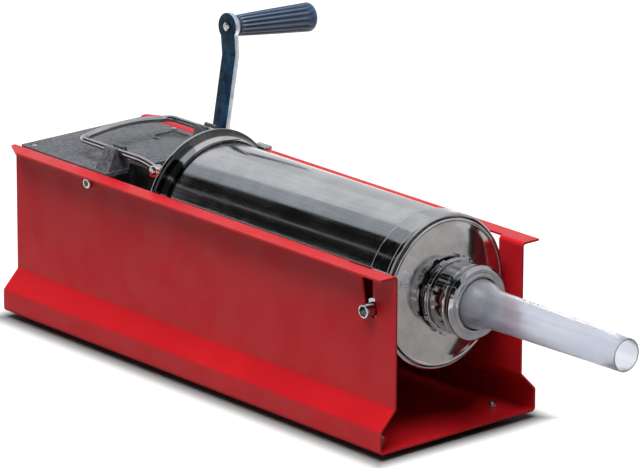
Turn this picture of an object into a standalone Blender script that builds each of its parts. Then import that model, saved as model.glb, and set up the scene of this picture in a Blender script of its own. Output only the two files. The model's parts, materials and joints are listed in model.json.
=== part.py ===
"""Horizontal sausage stuffer: a folded sheet trough that carries a steel cylinder, a piston on a
toothed rack, a two-stage hand-cranked gearbox, a swing-over bail and a nozzle under a ring nut.

While it is modelled, X=0 is the open front of the trough, +X points to the nozzle, +Y to the crank
and Z=0 is the table. The whole machine hangs on one empty, which centres it over the origin.
Run with: blender --background --python part.py
"""
import math

import bmesh
import bpy
from mathutils import Matrix, Vector

# Clearances, metres
SEAT = 0.0003            # between two pieces that touch
RUNNING = 0.0003         # between a shaft and its bore
SLIDING = 0.0005         # between the casting or ring and the trough walls

# Cylinder and its ends
TUBE_RADIUS = 0.070
TUBE_WALL = 0.0015
TUBE_FRONT_X = -0.0240
TUBE_LENGTH = 0.3270
RING_FLARE = 0.0096      # how far the rear ring stands out from the tube
RING_LENGTH = 0.0190
RING_OVERHANG = 0.0020   # ring rear face behind the tube's end
BAND_WIDTH = 0.0270
BAND_WALL = 0.0022
BAND_LIP = 0.0025        # how far the front band reaches past the tube
CAP_WALL = 0.0016
CAP_SKIRT = 0.0100
CAP_BULGE = 0.0050
CAP_EDGE = 0.0055        # depth of the rolled edge
NECK_RADIUS = 0.0280
NECK_BORE_RADIUS = 0.0242
NECK_LENGTH = 0.0240

# Trough, from 2 mm sheet
SHEET = 0.0020
LOADING_GAP = 0.0600     # from the cylinder's rear ring to the gearbox
SIDE_GAP = 0.0060        # tube to trough wall
UNDER_GAP = 0.0576       # tube to pan
FLANGE_WIDTH = 0.0188
FLARE_OUT = 0.0176
FLARE_TOP = 0.0395       # above the pan's underside
FLARE_FOOT = 0.0218
BEND_RADIUS = 0.0030
FLANGE_CHAMFER_X = 0.0230
FLANGE_CHAMFER_Y = 0.0130

# Feet and screws
FOOT_HEIGHT = 0.0065
FOOT_RADIUS = 0.0120
FOOT_INSET_X = 0.0300
FOOT_INSET_Y = 0.0266
FOOT_SCREW_RADIUS = 0.0025
FOOT_SCREW_TAIL = 0.0060
BASE_SCREW_RADIUS = 0.0030
BASE_SCREW_INSET = 0.0200
SIDE_BOLT_RADIUS = 0.0030
SIDE_BOLT_INSET = 0.0235 # behind the casting's front
SIDE_BOLT_DROP = 0.0132  # below the flange's top
SIDE_BOLT_GRIP = 0.0065  # depth of its hole in the casting
LID_SCREW_RADIUS = 0.0020
SCREW_HOLE_GAP = 0.0004

# Trunnions at the front of the cylinder
PIN_RADIUS = 0.0065
PIN_REACH = 0.0100       # outside the trough wall
PIN_DROP = 0.0030        # below the cylinder axis
PIN_X = -0.0330
SLOT_CLEARANCE = 0.0014
SLOT_LEAN = 0.0060
SLOT_MOUTH = 0.0200

# Rack and gears
RACK_WIDTH = 0.0180
RACK_HEIGHT = 0.0180
RACK_STUD_RADIUS = 0.0070
RACK_TAIL = 0.0020       # behind the casting with the piston forward
RACK_MODULE = 0.0025
RACK_PINION_TEETH = 12
GEAR_MODULE = 0.0020
CRANK_PINION_TEETH = 12
DRIVE_GEAR_TEETH = 40
PRESSURE_ANGLE = math.radians(25)
BACKLASH = 0.0003
SHAFT_RADIUS = 0.0065
SHAFT_OVER_RACK = 0.0022
RACK_PINION_WIDTH = 0.0220
DRIVE_GEAR_WIDTH = 0.0100
CRANK_PINION_WIDTH = 0.0140
GEAR_OFFSET_Y = 0.0220
SPACER_WALL = 0.0014
PARK_GAP = 0.0100        # from the drawn-back piston to the gearbox

# Piston
PISTON_LENGTH = 0.0280
PISTON_GAP = 0.0006
PISTON_FRONT_GAP = 0.0010
SEAL_WIDTH = 0.0080
SEAL_DEPTH = 0.0040
PISTON_NUT_HEIGHT = 0.0100
PISTON_NUT_FLATS = 0.0220

# Gearbox casting and lid
HOUSING_WALL = 0.0060
HOUSING_FLOOR = 0.0100
HOUSING_LENGTH = 0.1320
HOUSING_REAR_INSET = 0.0040
HOUSING_NOTCH_DEPTH = 0.0240
HOUSING_NOTCH_INNER = 0.0260
HOUSING_NOTCH_OUTER = 0.0465
HOUSING_TONGUE = 0.0020  # the middle stands this far in front of the cheeks
HOUSING_CORNER = 0.0140
LID_SCREW_INSET = 0.0035
NUT_POCKET_RADIUS = 0.0055
NUT_POCKET_DEPTH = 0.0070
GEAR_ROOM = 0.0028       # gear tips to the casting and the lid
LID_ROOM = 0.0005
LID_THICKNESS = 0.0038
GUIDE_WALL = 0.0060
BUSH_WALL = 0.0035
BUSH_REACH = 0.0060      # crank bush outside the trough wall
LID_RECESS_X = 0.0580    # in front of the casting's rear
LID_RECESS_Y = 0.0420
LID_RECESS_LENGTH = 0.0260
LID_RECESS_WIDTH = 0.0260
LID_RECESS_DEPTH = 0.0015
OIL_SLOT_X = 0.0694
OIL_SLOT_Y = 0.0362
OIL_SLOT_LENGTH = 0.0100
OIL_SLOT_RADIUS = 0.0018

# Bail over the lid
BAIL_ROD_RADIUS = 0.0032
BAIL_INSET = 0.0138      # legs inside the tube's outline
BAIL_OVERHANG = 0.0432   # crossbar behind the saddles
BAIL_ABOVE_LID = 0.0172
BAIL_ARCH = 0.0042
BAIL_CORNER = 0.0100
BAIL_DROP_LENGTH = 0.0215
BAIL_EYE_RADIUS = 0.0050
BAIL_EYE_WIDTH = 0.0060
BAIL_PIVOT_BEHIND = 0.0072
BAIL_PIVOT_OUT = 0.0044  # pivots outside the tube's radius
BAIL_PIN_RADIUS = 0.0020
LUG_THICKNESS = 0.0030
LUG_ROOT = 0.0030        # how far a lug runs into the ring
SADDLE_LENGTH = 0.0200
SADDLE_SLOPE = 0.0050
SADDLE_HEIGHT = 0.0224
SADDLE_CHEEK = 0.0040
SADDLE_INNER_FLARE = 0.0030
SADDLE_OUTER_FLARE = 0.0090
SADDLE_INSET = 0.0005    # behind the cheeks' front face

# Crank
CRANK_HUB_RADIUS = 0.0130
CRANK_HUB_LENGTH = 0.0195
ARM_THICKNESS = 0.0055
ARM_HALF_WIDTH = 0.0105
ARM_BOSS_RADIUS = 0.0135
ARM_FOOT_LENGTH = 0.0139
ARM_SLANT_LENGTH = 0.0781
ARM_TOP_LENGTH = 0.0271
ARM_SLANT = math.radians(18.6)
ARM_LEAN = math.radians(4.4)
CRANK_REST = math.radians(-10.6)  # crank leans back from upright
SHAFT_SQUARE = 0.0088
CRANK_SCREW_RADIUS = 0.0030
GRIP_LENGTH = 0.1008
GRIP_ROOT_RADIUS = 0.0102
GRIP_END_RADIUS = 0.0146
GRIP_DOME = 0.0040
GRIP_FLUTES = 12
GRIP_FLUTE_DEPTH = 0.0009
GRIP_BOLT_RADIUS = 0.0040
GRIP_BOLT_DEPTH = 0.0800

# Nozzle and ring nut
THREAD_GAP = 0.0004
GASKET_THICKNESS = 0.0020
NOZZLE_FLANGE = 0.0034
NOZZLE_WALL = 0.0018
NOZZLE_REACH = 0.2144    # tip, in front of the trough
NOZZLE_ROOT_RADIUS = 0.0238
NOZZLE_TUBE_RADIUS = 0.0178
NOZZLE_TIP_RADIUS = 0.0155
NOZZLE_BELL = 0.0340     # length of the bell before the tube
NUT_MOUTH_RADIUS = 0.0247
NUT_LIP = 0.0080
NUT_REAR_GAP = 0.0030
NUT_WALL = 0.0030
NUT_RIM = 0.0040
NUT_LUG = 0.0032
NUT_LUGS = 8

# Sides of turned pieces, by size
ROUND = 36
MEDIUM = 24
FINE = 16
SMALL = 8

# Mates, worked out from the sizes above
WALL_INNER = TUBE_RADIUS + SIDE_GAP
WALL_OUTER = WALL_INNER + SHEET
PAN_TOP = FOOT_HEIGHT + SHEET
AXIS_Z = PAN_TOP + UNDER_GAP + TUBE_RADIUS
TUBE_BORE = TUBE_RADIUS - TUBE_WALL
TUBE_REAR_X = TUBE_FRONT_X - TUBE_LENGTH
RING_REAR_X = TUBE_REAR_X - RING_OVERHANG
RACK_PINION_RADIUS = RACK_MODULE * RACK_PINION_TEETH / 2
CRANK_PINION_RADIUS = GEAR_MODULE * CRANK_PINION_TEETH / 2
DRIVE_GEAR_RADIUS = GEAR_MODULE * DRIVE_GEAR_TEETH / 2
LAY_Z = AXIS_Z - RACK_HEIGHT / 2 + RACK_MODULE - RACK_PINION_RADIUS
CRANK_Z = AXIS_Z + RACK_HEIGHT / 2 + SHAFT_OVER_RACK + SHAFT_RADIUS
HOUSING_FRONT = RING_REAR_X - LOADING_GAP
HOUSING_REAR = HOUSING_FRONT - HOUSING_LENGTH
TROUGH_LENGTH = HOUSING_REAR_INSET - HOUSING_REAR
HOUSING_HALF = WALL_INNER - SLIDING
LAY_X = HOUSING_REAR + HOUSING_WALL + GEAR_ROOM + DRIVE_GEAR_RADIUS + GEAR_MODULE
CENTRES = CRANK_PINION_RADIUS + DRIVE_GEAR_RADIUS
CRANK_X = LAY_X + math.sqrt(CENTRES ** 2 - (CRANK_Z - LAY_Z) ** 2)
LID_UNDER = CRANK_Z + CRANK_PINION_RADIUS + GEAR_MODULE + LID_ROOM
LID_TOP = LID_UNDER + LID_THICKNESS
FLANGE_TOP = LID_TOP
CAVITY_HALF = HOUSING_HALF - HOUSING_WALL
CAVITY_REAR = HOUSING_REAR + HOUSING_WALL
CAVITY_FRONT = HOUSING_FRONT - HOUSING_NOTCH_DEPTH - HOUSING_WALL
PISTON_FRONT_X = TUBE_FRONT_X - CAP_SKIRT - PISTON_FRONT_GAP
PISTON_REAR_X = PISTON_FRONT_X - PISTON_LENGTH
STROKE = PISTON_REAR_X - HOUSING_FRONT - PARK_GAP
RACK_REAR_X = HOUSING_REAR - RACK_TAIL
CAP_EDGE_X = TUBE_FRONT_X + SEAT
CAP_FACE_X = CAP_EDGE_X + CAP_EDGE
NECK_END_X = CAP_FACE_X + CAP_BULGE + NECK_LENGTH
NUT_SEAT_X = NECK_END_X + GASKET_THICKNESS + NOZZLE_FLANGE + 3 * SEAT
NUT_FRONT_X = NUT_SEAT_X + NUT_LIP
NUT_REAR_X = CAP_FACE_X + CAP_BULGE + NUT_REAR_GAP
NUT_BORE = NECK_RADIUS + THREAD_GAP
PIN_Z = AXIS_Z - PIN_DROP
BAIL_PIVOT_X = RING_REAR_X - BAIL_PIVOT_BEHIND
BAIL_HALF_WIDTH = TUBE_RADIUS - BAIL_INSET
BAIL_PIVOT_Z = AXIS_Z + math.sqrt((TUBE_RADIUS + BAIL_PIVOT_OUT) ** 2 - BAIL_HALF_WIDTH ** 2)
BAIL_Z = LID_TOP + BAIL_ABOVE_LID
SADDLE_FRONT = HOUSING_FRONT - HOUSING_TONGUE - SADDLE_INSET
BAIL_REAR_X = SADDLE_FRONT - SADDLE_LENGTH - BAIL_OVERHANG
CRANK_FACE_Y = WALL_OUTER + BUSH_REACH + SEAT + CRANK_HUB_LENGTH
ARM_LENGTH = ARM_FOOT_LENGTH + ARM_SLANT_LENGTH + ARM_TOP_LENGTH
GRIP_GAP = 2 * SEAT


def clear_scene():
    for item in list(bpy.data.objects):
        bpy.data.objects.remove(item, do_unlink=True)


def make_material(name, colour, roughness, metallic=0.0, alpha=1.0):
    material = bpy.data.materials.new(name)
    material.use_nodes = True
    shader = material.node_tree.nodes["Principled BSDF"]
    shader.inputs["Base Color"].default_value = (*colour, 1.0)
    shader.inputs["Roughness"].default_value = roughness
    shader.inputs["Metallic"].default_value = metallic
    shader.inputs["Alpha"].default_value = alpha
    return material


# Shape helpers

def on_axis(axis, along, first, second):
    """A point 'along' one axis; first and second are the other two axes in X, Y, Z order."""
    if axis == "X":
        return Vector((along, first, second))
    if axis == "Y":
        return Vector((first, along, second))
    return Vector((first, second, along))


def arc(centre, radius, start, end, steps):
    """Points on an arc from one angle to another, in degrees, both ends included."""
    points = []
    for i in range(steps + 1):
        angle = math.radians(start + (end - start) * i / steps)
        points.append((centre[0] + radius * math.cos(angle), centre[1] + radius * math.sin(angle)))
    return points


def circle(centre, radius, sides):
    return arc(centre, radius, 0, 360 - 360 / sides, sides - 1)


def hexagon(centre, flats):
    return circle(centre, flats / math.sqrt(3), 6)


def plate(outline, axis, low, high, holes=()):
    """Extrude an outline, with any holes, between two levels of an axis."""
    bm = bmesh.new()
    levels = []
    for level in (low, high):
        edges = []
        loops = []
        for loop in (outline, *holes):
            verts = [bm.verts.new(on_axis(axis, level, u, v)) for u, v in loop]
            edges += [bm.edges.new((verts[i - 1], verts[i])) for i in range(len(verts))]
            loops.append(verts)
        bmesh.ops.triangle_fill(bm, use_beauty=True, use_dissolve=False, edges=edges)
        levels.append(loops)
    for low_loop, high_loop in zip(*levels):
        for i in range(len(low_loop)):
            bm.faces.new((low_loop[i - 1], low_loop[i], high_loop[i], high_loop[i - 1]))
    bmesh.ops.recalc_face_normals(bm, faces=bm.faces)
    return bm


def block(x, y, z):
    """A box from three (low, high) pairs."""
    outline = [(x[0], y[0]), (x[1], y[0]), (x[1], y[1]), (x[0], y[1])]
    return plate(outline, "Z", z[0], z[1])


def lathe(profile, sides, axis="X", centre=(0.0, 0.0), shape=None):
    """Turn a closed (along, radius) profile. shape(along, radius, angle) may change the radius."""
    bm = bmesh.new()
    rings = []
    for along, radius in profile:
        if radius == 0:
            rings.append([bm.verts.new(on_axis(axis, along, *centre))])
            continue
        ring = []
        for i in range(sides):
            angle = math.tau * i / sides
            reach = shape(along, radius, angle) if shape else radius
            first = centre[0] + reach * math.cos(angle)
            second = centre[1] + reach * math.sin(angle)
            ring.append(bm.verts.new(on_axis(axis, along, first, second)))
        rings.append(ring)
    for i, ring in enumerate(rings):
        below = rings[i - 1]
        if len(ring) == 1 and len(below) == 1:
            continue
        for k in range(sides):
            corners = [below[(k - 1) % len(below)], below[k % len(below)], ring[k % len(ring)],
                       ring[(k - 1) % len(ring)]]
            bm.faces.new(list(dict.fromkeys(corners)))
    bmesh.ops.recalc_face_normals(bm, faces=bm.faces)
    return bm


def rod(path, radius, sides):
    """A round bar along a path, its frame carried on without twist."""
    bm = bmesh.new()
    points = [Vector(point) for point in path]
    rings = []
    normal = None
    for i, point in enumerate(points):
        before = points[max(i - 1, 0)]
        after = points[min(i + 1, len(points) - 1)]
        tangent = (after - before).normalized()
        if normal is None:
            normal = tangent.orthogonal()
        normal = (normal - tangent * normal.dot(tangent)).normalized()
        across = tangent.cross(normal)
        ring = []
        for k in range(sides):
            angle = math.tau * k / sides
            offset = normal * math.cos(angle) + across * math.sin(angle)
            ring.append(bm.verts.new(point + offset * radius))
        rings.append(ring)
    for low, high in zip(rings, rings[1:]):
        for k in range(sides):
            bm.faces.new((low[k - 1], low[k], high[k], high[k - 1]))
    bm.faces.new(rings[0])
    bm.faces.new(rings[-1])
    bmesh.ops.recalc_face_normals(bm, faces=bm.faces)
    return bm


def joined(*parts):
    """Several closed shapes in one mesh."""
    bm = bmesh.new()
    for part in parts:
        mesh = bpy.data.meshes.new("join")
        part.to_mesh(mesh)
        part.free()
        bm.from_mesh(mesh)
        bpy.data.meshes.remove(mesh)
    return bm


def finished_mesh(name, bm, material):
    mesh = bpy.data.meshes.new(name)
    bm.to_mesh(mesh)
    bm.free()
    mesh.materials.append(material)
    mesh.shade_smooth()
    mesh.set_sharp_from_angle(angle=math.radians(30))
    return mesh


def add_object(name, mesh, location, turn):
    piece = bpy.data.objects.new(name, mesh)
    piece.location = location
    piece.rotation_euler = turn
    piece.parent = MACHINE
    bpy.context.collection.objects.link(piece)
    return piece


def place(name, bm, material, pivot=(0.0, 0.0, 0.0)):
    """Make the object, its origin on the pivot."""
    bmesh.ops.translate(bm, verts=bm.verts, vec=-Vector(pivot))
    return add_object(name, finished_mesh(name, bm, material), pivot, (0.0, 0.0, 0.0))


def place_on_crank(name, bm, material, pivot, droop=0.0):
    """As place, for a piece modelled with the crank upright: turns it to the crank's rest angle."""
    bmesh.ops.translate(bm, verts=bm.verts, vec=-Vector(pivot))
    shaft_centre = Vector((CRANK_X, 0.0, CRANK_Z))
    location = shaft_centre + Matrix.Rotation(CRANK_REST, 3, "Y") @ (Vector(pivot) - shaft_centre)
    return add_object(name, finished_mesh(name, bm, material), location, (-droop, CRANK_REST, 0.0))


def repeat(name, bm, material, spots):
    """The same piece at several spots (suffix, location, turn about Z), all on one mesh."""
    mesh = finished_mesh(name, bm, material)
    for suffix, location, turn_z in spots:
        add_object(f"{name}_{suffix}", mesh, location, (0.0, 0.0, turn_z))


def corner_spots(front_x, rear_x, half):
    """Spots at the four corners of a rectangle about the middle plane, at table height."""
    spots = []
    for row, x in (("front", front_x), ("rear", rear_x)):
        for side, y in (("right", -half), ("left", half)):
            spots.append((f"{row}_{side}", (x, y, 0.0), 0.0))
    return spots


def side_spots(x, z):
    """Spots for a piece along Y that is modelled on the left and turned round for the right."""
    return [("right", (x, 0.0, z), math.pi), ("left", (x, 0.0, z), 0.0)]


def boolean(piece, bm, operation):
    """Cut a shape from a piece, or unite it with the piece, as a live modifier."""
    tool = place(f"{piece.name}.{operation.lower()}", bm, piece.data.materials[0], piece.location)
    tool.rotation_euler = piece.rotation_euler
    tool.hide_render = True
    tool.display_type = "WIRE"
    modifier = piece.modifiers.new(operation.title(), "BOOLEAN")
    modifier.operation = operation
    modifier.object = tool
    modifier.solver = "EXACT"


# Frame: trough, feet and their screws

def sheet_centre_line():
    """Corner points (y, z) of the folded sheet's middle, from one flange tip to the other."""
    half = WALL_OUTER - SHEET / 2
    top = FLANGE_TOP - SHEET / 2
    right = [(WALL_OUTER + FLANGE_WIDTH, top), (half, top), (half, FOOT_HEIGHT + FLARE_TOP),
             (half + FLARE_OUT, FOOT_HEIGHT + FLARE_FOOT), (half + FLARE_OUT, FOOT_HEIGHT + SHEET / 2)]
    return right + [(-y, z) for y, z in reversed(right)]


def folded_section():
    """Closed (y, z) outline of the sheet, every fold rounded on both sides."""
    corners = [Vector(point) for point in sheet_centre_line()]
    inner_side = []
    outer_side = []
    for i, corner in enumerate(corners):
        if i in (0, len(corners) - 1):
            along = (corners[1] - corners[0]) if i == 0 else (corners[-1] - corners[-2])
            along.normalize()
            normal = Vector((-along.y, along.x))
            inner_side.append(corner + normal * SHEET / 2)
            outer_side.append(corner - normal * SHEET / 2)
            continue
        came = (corner - corners[i - 1]).normalized()
        goes = (corners[i + 1] - corner).normalized()
        turn = math.atan2(came.x * goes.y - came.y * goes.x, came.dot(goes))
        setback = BEND_RADIUS * math.tan(abs(turn) / 2)
        start = corner - came * setback
        side = math.copysign(1.0, turn)
        centre = start + Vector((-came.y, came.x)) * side * BEND_RADIUS
        steps = 3
        for k in range(steps + 1):
            spoke = (start - centre).normalized()
            spoke.rotate(Matrix.Rotation(turn * k / steps, 2))
            inner_side.append(centre + spoke * (BEND_RADIUS - side * SHEET / 2))
            outer_side.append(centre + spoke * (BEND_RADIUS + side * SHEET / 2))
    return [tuple(point) for point in inner_side + outer_side[::-1]]


def foot_spots():
    half = WALL_OUTER + FLARE_OUT - FOOT_INSET_Y
    return corner_spots(-FOOT_INSET_X, -TROUGH_LENGTH + FOOT_INSET_X, half)


def base_screw_spots():
    return corner_spots(CAVITY_FRONT - BASE_SCREW_INSET, CAVITY_REAR + BASE_SCREW_INSET,
                        CAVITY_HALF - BASE_SCREW_INSET)


def side_slot(side):
    """Cutter for the slot that a trunnion pin drops into, widening toward the flange."""
    radius = PIN_RADIUS + SLOT_CLEARANCE
    outline = arc((PIN_X, PIN_Z), radius, 0, -180, 8)
    top = FLANGE_TOP - SHEET - SEAT
    lean = PIN_Z + 0.020
    outline += [(PIN_X - radius - SLOT_LEAN, top - 0.010),
                (PIN_X - radius - SLOT_MOUTH, top), (PIN_X - radius - SLOT_MOUTH, FLANGE_TOP + SHEET),
                (PIN_X + radius - SLOT_LEAN, FLANGE_TOP + SHEET), (PIN_X + radius - SLOT_LEAN, lean)]
    reach = sorted((side * (WALL_INNER - 2 * SHEET), side * (WALL_OUTER + BEND_RADIUS)))
    return plate(outline, "Y", *reach)


def flange_chamfer(side):
    """Cutter for the clipped rear corner of a flange."""
    tip = WALL_OUTER + FLANGE_WIDTH
    outline = [(-TROUGH_LENGTH - SHEET, side * (tip + SHEET)),
               (-TROUGH_LENGTH + FLANGE_CHAMFER_X, side * (tip + SHEET)),
               (-TROUGH_LENGTH + FLANGE_CHAMFER_X, side * tip),
               (-TROUGH_LENGTH, side * (tip - FLANGE_CHAMFER_Y)),
               (-TROUGH_LENGTH - SHEET, side * (tip - FLANGE_CHAMFER_Y))]
    return plate(outline, "Z", FLANGE_TOP - 2 * SHEET, FLANGE_TOP + SHEET)


def side_bolt_place():
    """(x, z) of the socket bolt that holds each cheek of the casting."""
    return (HOUSING_FRONT - SIDE_BOLT_INSET, FLANGE_TOP - SIDE_BOLT_DROP)


def make_trough(paint):
    trough = place("frame_trough", plate(folded_section(), "X", -TROUGH_LENGTH, 0.0), paint)
    cutters = []
    for side in (-1, 1):
        cutters.append(side_slot(side))
        cutters.append(flange_chamfer(side))
        reach = sorted((side * (WALL_INNER - SHEET), side * (WALL_OUTER + SHEET)))
        bolt = circle(side_bolt_place(), SIDE_BOLT_RADIUS + SCREW_HOLE_GAP, SMALL)
        cutters.append(plate(bolt, "Y", *reach))
    bush = circle((CRANK_X, CRANK_Z), SHAFT_RADIUS + BUSH_WALL + RUNNING + SEAT, FINE)
    cutters.append(plate(bush, "Y", WALL_INNER - SHEET, WALL_OUTER + SHEET))
    for spots, radius in ((foot_spots(), FOOT_SCREW_RADIUS), (base_screw_spots(), BASE_SCREW_RADIUS)):
        for _, spot, _ in spots:
            hole = circle(spot, radius + SCREW_HOLE_GAP, SMALL)
            cutters.append(plate(hole, "Z", FOOT_HEIGHT - SHEET, PAN_TOP + SHEET))
    boolean(trough, joined(*cutters), "DIFFERENCE")


def make_feet(rubber, zinc):
    head_radius = 1.9 * FOOT_SCREW_RADIUS
    pocket = head_radius + 0.0007
    hole = FOOT_SCREW_RADIUS + SCREW_HOLE_GAP
    floor = FOOT_HEIGHT / 2
    top = FOOT_HEIGHT - SEAT
    edge = 0.0010
    foot_profile = [(0, pocket), (0, FOOT_RADIUS - edge), (edge, FOOT_RADIUS), (top, FOOT_RADIUS - edge),
                    (top, hole), (floor, hole), (floor, pocket)]
    head = floor - SEAT
    tail = PAN_TOP + FOOT_SCREW_TAIL
    screw_profile = [(head - 0.0020, 0), (head - 0.0020, 0.7 * head_radius), (head - 0.0008, head_radius),
                     (head, head_radius), (head, FOOT_SCREW_RADIUS), (tail, FOOT_SCREW_RADIUS), (tail, 0)]
    repeat("rubber_foot", lathe(foot_profile, FINE, "Z"), rubber, foot_spots())
    repeat("foot_screw", lathe(screw_profile, SMALL, "Z"), zinc, foot_spots())


# Gearbox casting, lid and what holds them

def housing_outline():
    """Plan (x, y) of casting and lid: a middle tongue and two cheeks, with a notch between them."""
    cheek = HOUSING_FRONT - HOUSING_TONGUE
    notch = HOUSING_FRONT - HOUSING_NOTCH_DEPTH
    right = [(HOUSING_REAR, -HOUSING_HALF), (cheek, -HOUSING_HALF), (cheek, -HOUSING_NOTCH_OUTER),
             (notch, -HOUSING_NOTCH_OUTER), (notch, -HOUSING_NOTCH_INNER),
             (HOUSING_FRONT, -HOUSING_NOTCH_INNER)]
    return right + [(x, -y) for x, y in reversed(right)]


def cavity_outline():
    """Plan of the gear chamber, with thick corners for the lid screws."""
    x = (CAVITY_REAR, CAVITY_FRONT)
    cut = HOUSING_CORNER
    half = CAVITY_HALF
    return [(x[0] + cut, -half), (x[1] - cut, -half), (x[1], -half + cut), (x[1], half - cut),
            (x[1] - cut, half), (x[0] + cut, half), (x[0], half - cut), (x[0], -half + cut)]


def lid_screw_spots():
    inset = HOUSING_WALL + LID_SCREW_INSET
    return corner_spots(CAVITY_FRONT + HOUSING_WALL / 2, HOUSING_REAR + inset, HOUSING_HALF - inset)


def square(centre, half):
    return [(centre[0] - half, centre[1] - half), (centre[0] + half, centre[1] - half),
            (centre[0] + half, centre[1] + half), (centre[0] - half, centre[1] + half)]


def guide_half():
    return max(RACK_WIDTH, RACK_HEIGHT) / 2 + GUIDE_WALL


def make_housing(cast):
    low = PAN_TOP + SEAT
    housing = place("gearbox_housing", plate(housing_outline(), "Z", low, LID_UNDER - SEAT), cast)
    cutters = [plate(cavity_outline(), "Z", low + HOUSING_FLOOR, LID_UNDER + SHEET)]
    boolean(housing, joined(*cutters), "DIFFERENCE")
    cutters = []
    window = square((0.0, AXIS_Z), guide_half() + SEAT)
    cutters.append(plate(window, "X", HOUSING_REAR - SHEET, HOUSING_FRONT + SHEET))
    for centre in ((CRANK_X, CRANK_Z), (LAY_X, LAY_Z)):
        bore = circle(centre, SHAFT_RADIUS + BUSH_WALL + RUNNING + SEAT, FINE)
        cutters.append(plate(bore, "Y", -HOUSING_HALF - SHEET, HOUSING_HALF + SHEET))
    boolean_again(housing, joined(*cutters), "DIFFERENCE", "bores")
    cutters = []
    for _, spot, _ in base_screw_spots():
        hole = circle(spot, BASE_SCREW_RADIUS + SEAT, SMALL)
        cutters.append(plate(hole, "Z", low - SHEET, low + 0.8 * HOUSING_FLOOR))
    for _, spot, _ in foot_spots()[2:]:
        cutters.append(plate(circle(spot, NUT_POCKET_RADIUS, FINE), "Z", low - SHEET, low + NUT_POCKET_DEPTH))
    for _, spot, _ in lid_screw_spots():
        hole = circle(spot, LID_SCREW_RADIUS + SEAT, SMALL)
        cutters.append(plate(hole, "Z", LID_UNDER - 0.0140, LID_UNDER + SHEET))
    for side in (-1, 1):
        hole = circle(side_bolt_place(), SIDE_BOLT_RADIUS + SEAT, SMALL)
        reach = sorted((side * (HOUSING_HALF - SIDE_BOLT_GRIP), side * (HOUSING_HALF + SHEET)))
        cutters.append(plate(hole, "Y", *reach))
    boolean_again(housing, joined(*cutters), "DIFFERENCE", "screw_holes")


def boolean_again(piece, bm, operation, label):
    """A further live Boolean on the same piece, its tool named apart."""
    boolean(piece, bm, operation)
    piece.modifiers[-1].object.name = f"{piece.name}.{label}"


def saddle(side):
    """A lug on the lid with an open U that the bail's leg lies in."""
    low = LID_TOP - LID_THICKNESS / 2
    top = LID_TOP + SADDLE_HEIGHT
    groove = BAIL_ROD_RADIUS + SEAT
    inner = BAIL_HALF_WIDTH - groove
    outer = BAIL_HALF_WIDTH + groove
    outline = [(inner - SADDLE_CHEEK - SADDLE_INNER_FLARE, low), (inner - SADDLE_CHEEK, top), (inner, top)]
    outline += arc((BAIL_HALF_WIDTH, BAIL_Z), groove, 180, 360, 8)
    outline += [(outer, top), (outer + SADDLE_CHEEK, top),
                (outer + SADDLE_CHEEK + SADDLE_OUTER_FLARE, low)]
    outline = [(side * y, z) for y, z in outline]
    bm = plate(outline, "X", SADDLE_FRONT - SADDLE_LENGTH, SADDLE_FRONT)
    for vert in bm.verts:
        if vert.co.x < SADDLE_FRONT - SADDLE_LENGTH / 2 and vert.co.z > LID_TOP:
            vert.co.x += SADDLE_SLOPE * (vert.co.z - LID_TOP) / SADDLE_HEIGHT
    return bm


def make_lid(cast, zinc):
    head = 1.9 * LID_SCREW_RADIUS
    holes = [circle(spot, LID_SCREW_RADIUS + SCREW_HOLE_GAP, SMALL) for _, spot, _ in lid_screw_spots()]
    lid = place("gearbox_lid", plate(housing_outline(), "Z", LID_UNDER, LID_TOP, holes), cast)
    boolean(lid, joined(saddle(-1), saddle(1)), "UNION")
    pockets = [plate(circle(spot, head + SCREW_HOLE_GAP, SMALL), "Z", LID_TOP - 0.0020, LID_TOP + SHEET)
               for _, spot, _ in lid_screw_spots()]
    recess = HOUSING_REAR + LID_RECESS_X
    pockets.append(block((recess, recess + LID_RECESS_LENGTH), (LID_RECESS_Y, LID_RECESS_Y + LID_RECESS_WIDTH),
                         (LID_TOP - LID_RECESS_DEPTH, LID_TOP + SHEET)))
    slot = HOUSING_REAR + OIL_SLOT_X
    half = OIL_SLOT_LENGTH / 2 - OIL_SLOT_RADIUS
    outline = arc((slot + half, OIL_SLOT_Y), OIL_SLOT_RADIUS, -90, 90, 4)
    outline += arc((slot - half, OIL_SLOT_Y), OIL_SLOT_RADIUS, 90, 270, 4)
    pockets.append(plate(outline, "Z", LID_UNDER - SHEET, LID_TOP + SHEET))
    boolean_again(lid, joined(*pockets), "DIFFERENCE", "pockets")
    low = LID_TOP - 0.0020 + SEAT
    profile = [(LID_TOP - 0.0120, 0), (LID_TOP - 0.0120, LID_SCREW_RADIUS), (low, LID_SCREW_RADIUS),
               (low, head), (LID_TOP - SEAT, head), (LID_TOP - SEAT, 0)]
    repeat("lid_screw", lathe(profile, SMALL, "Z"), zinc, lid_screw_spots())


def socket_bolt(seat_y, radius, length):
    """A socket-head bolt along Y, its head outside seat_y."""
    head = 1.65 * radius
    depth = 1.1 * radius
    height = 1.25 * radius
    profile = [(seat_y, 0), (seat_y, head), (seat_y + height - 0.0005, head), (seat_y + height, head - 0.0005),
               (seat_y + height, 0.9 * radius), (seat_y + height - depth, 0.9 * radius),
               (seat_y + height - depth, 0)]
    body = [(seat_y - length, 0), (seat_y - length, radius), (seat_y, radius)]
    return lathe(body + profile[1:], SMALL, "Y")


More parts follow.
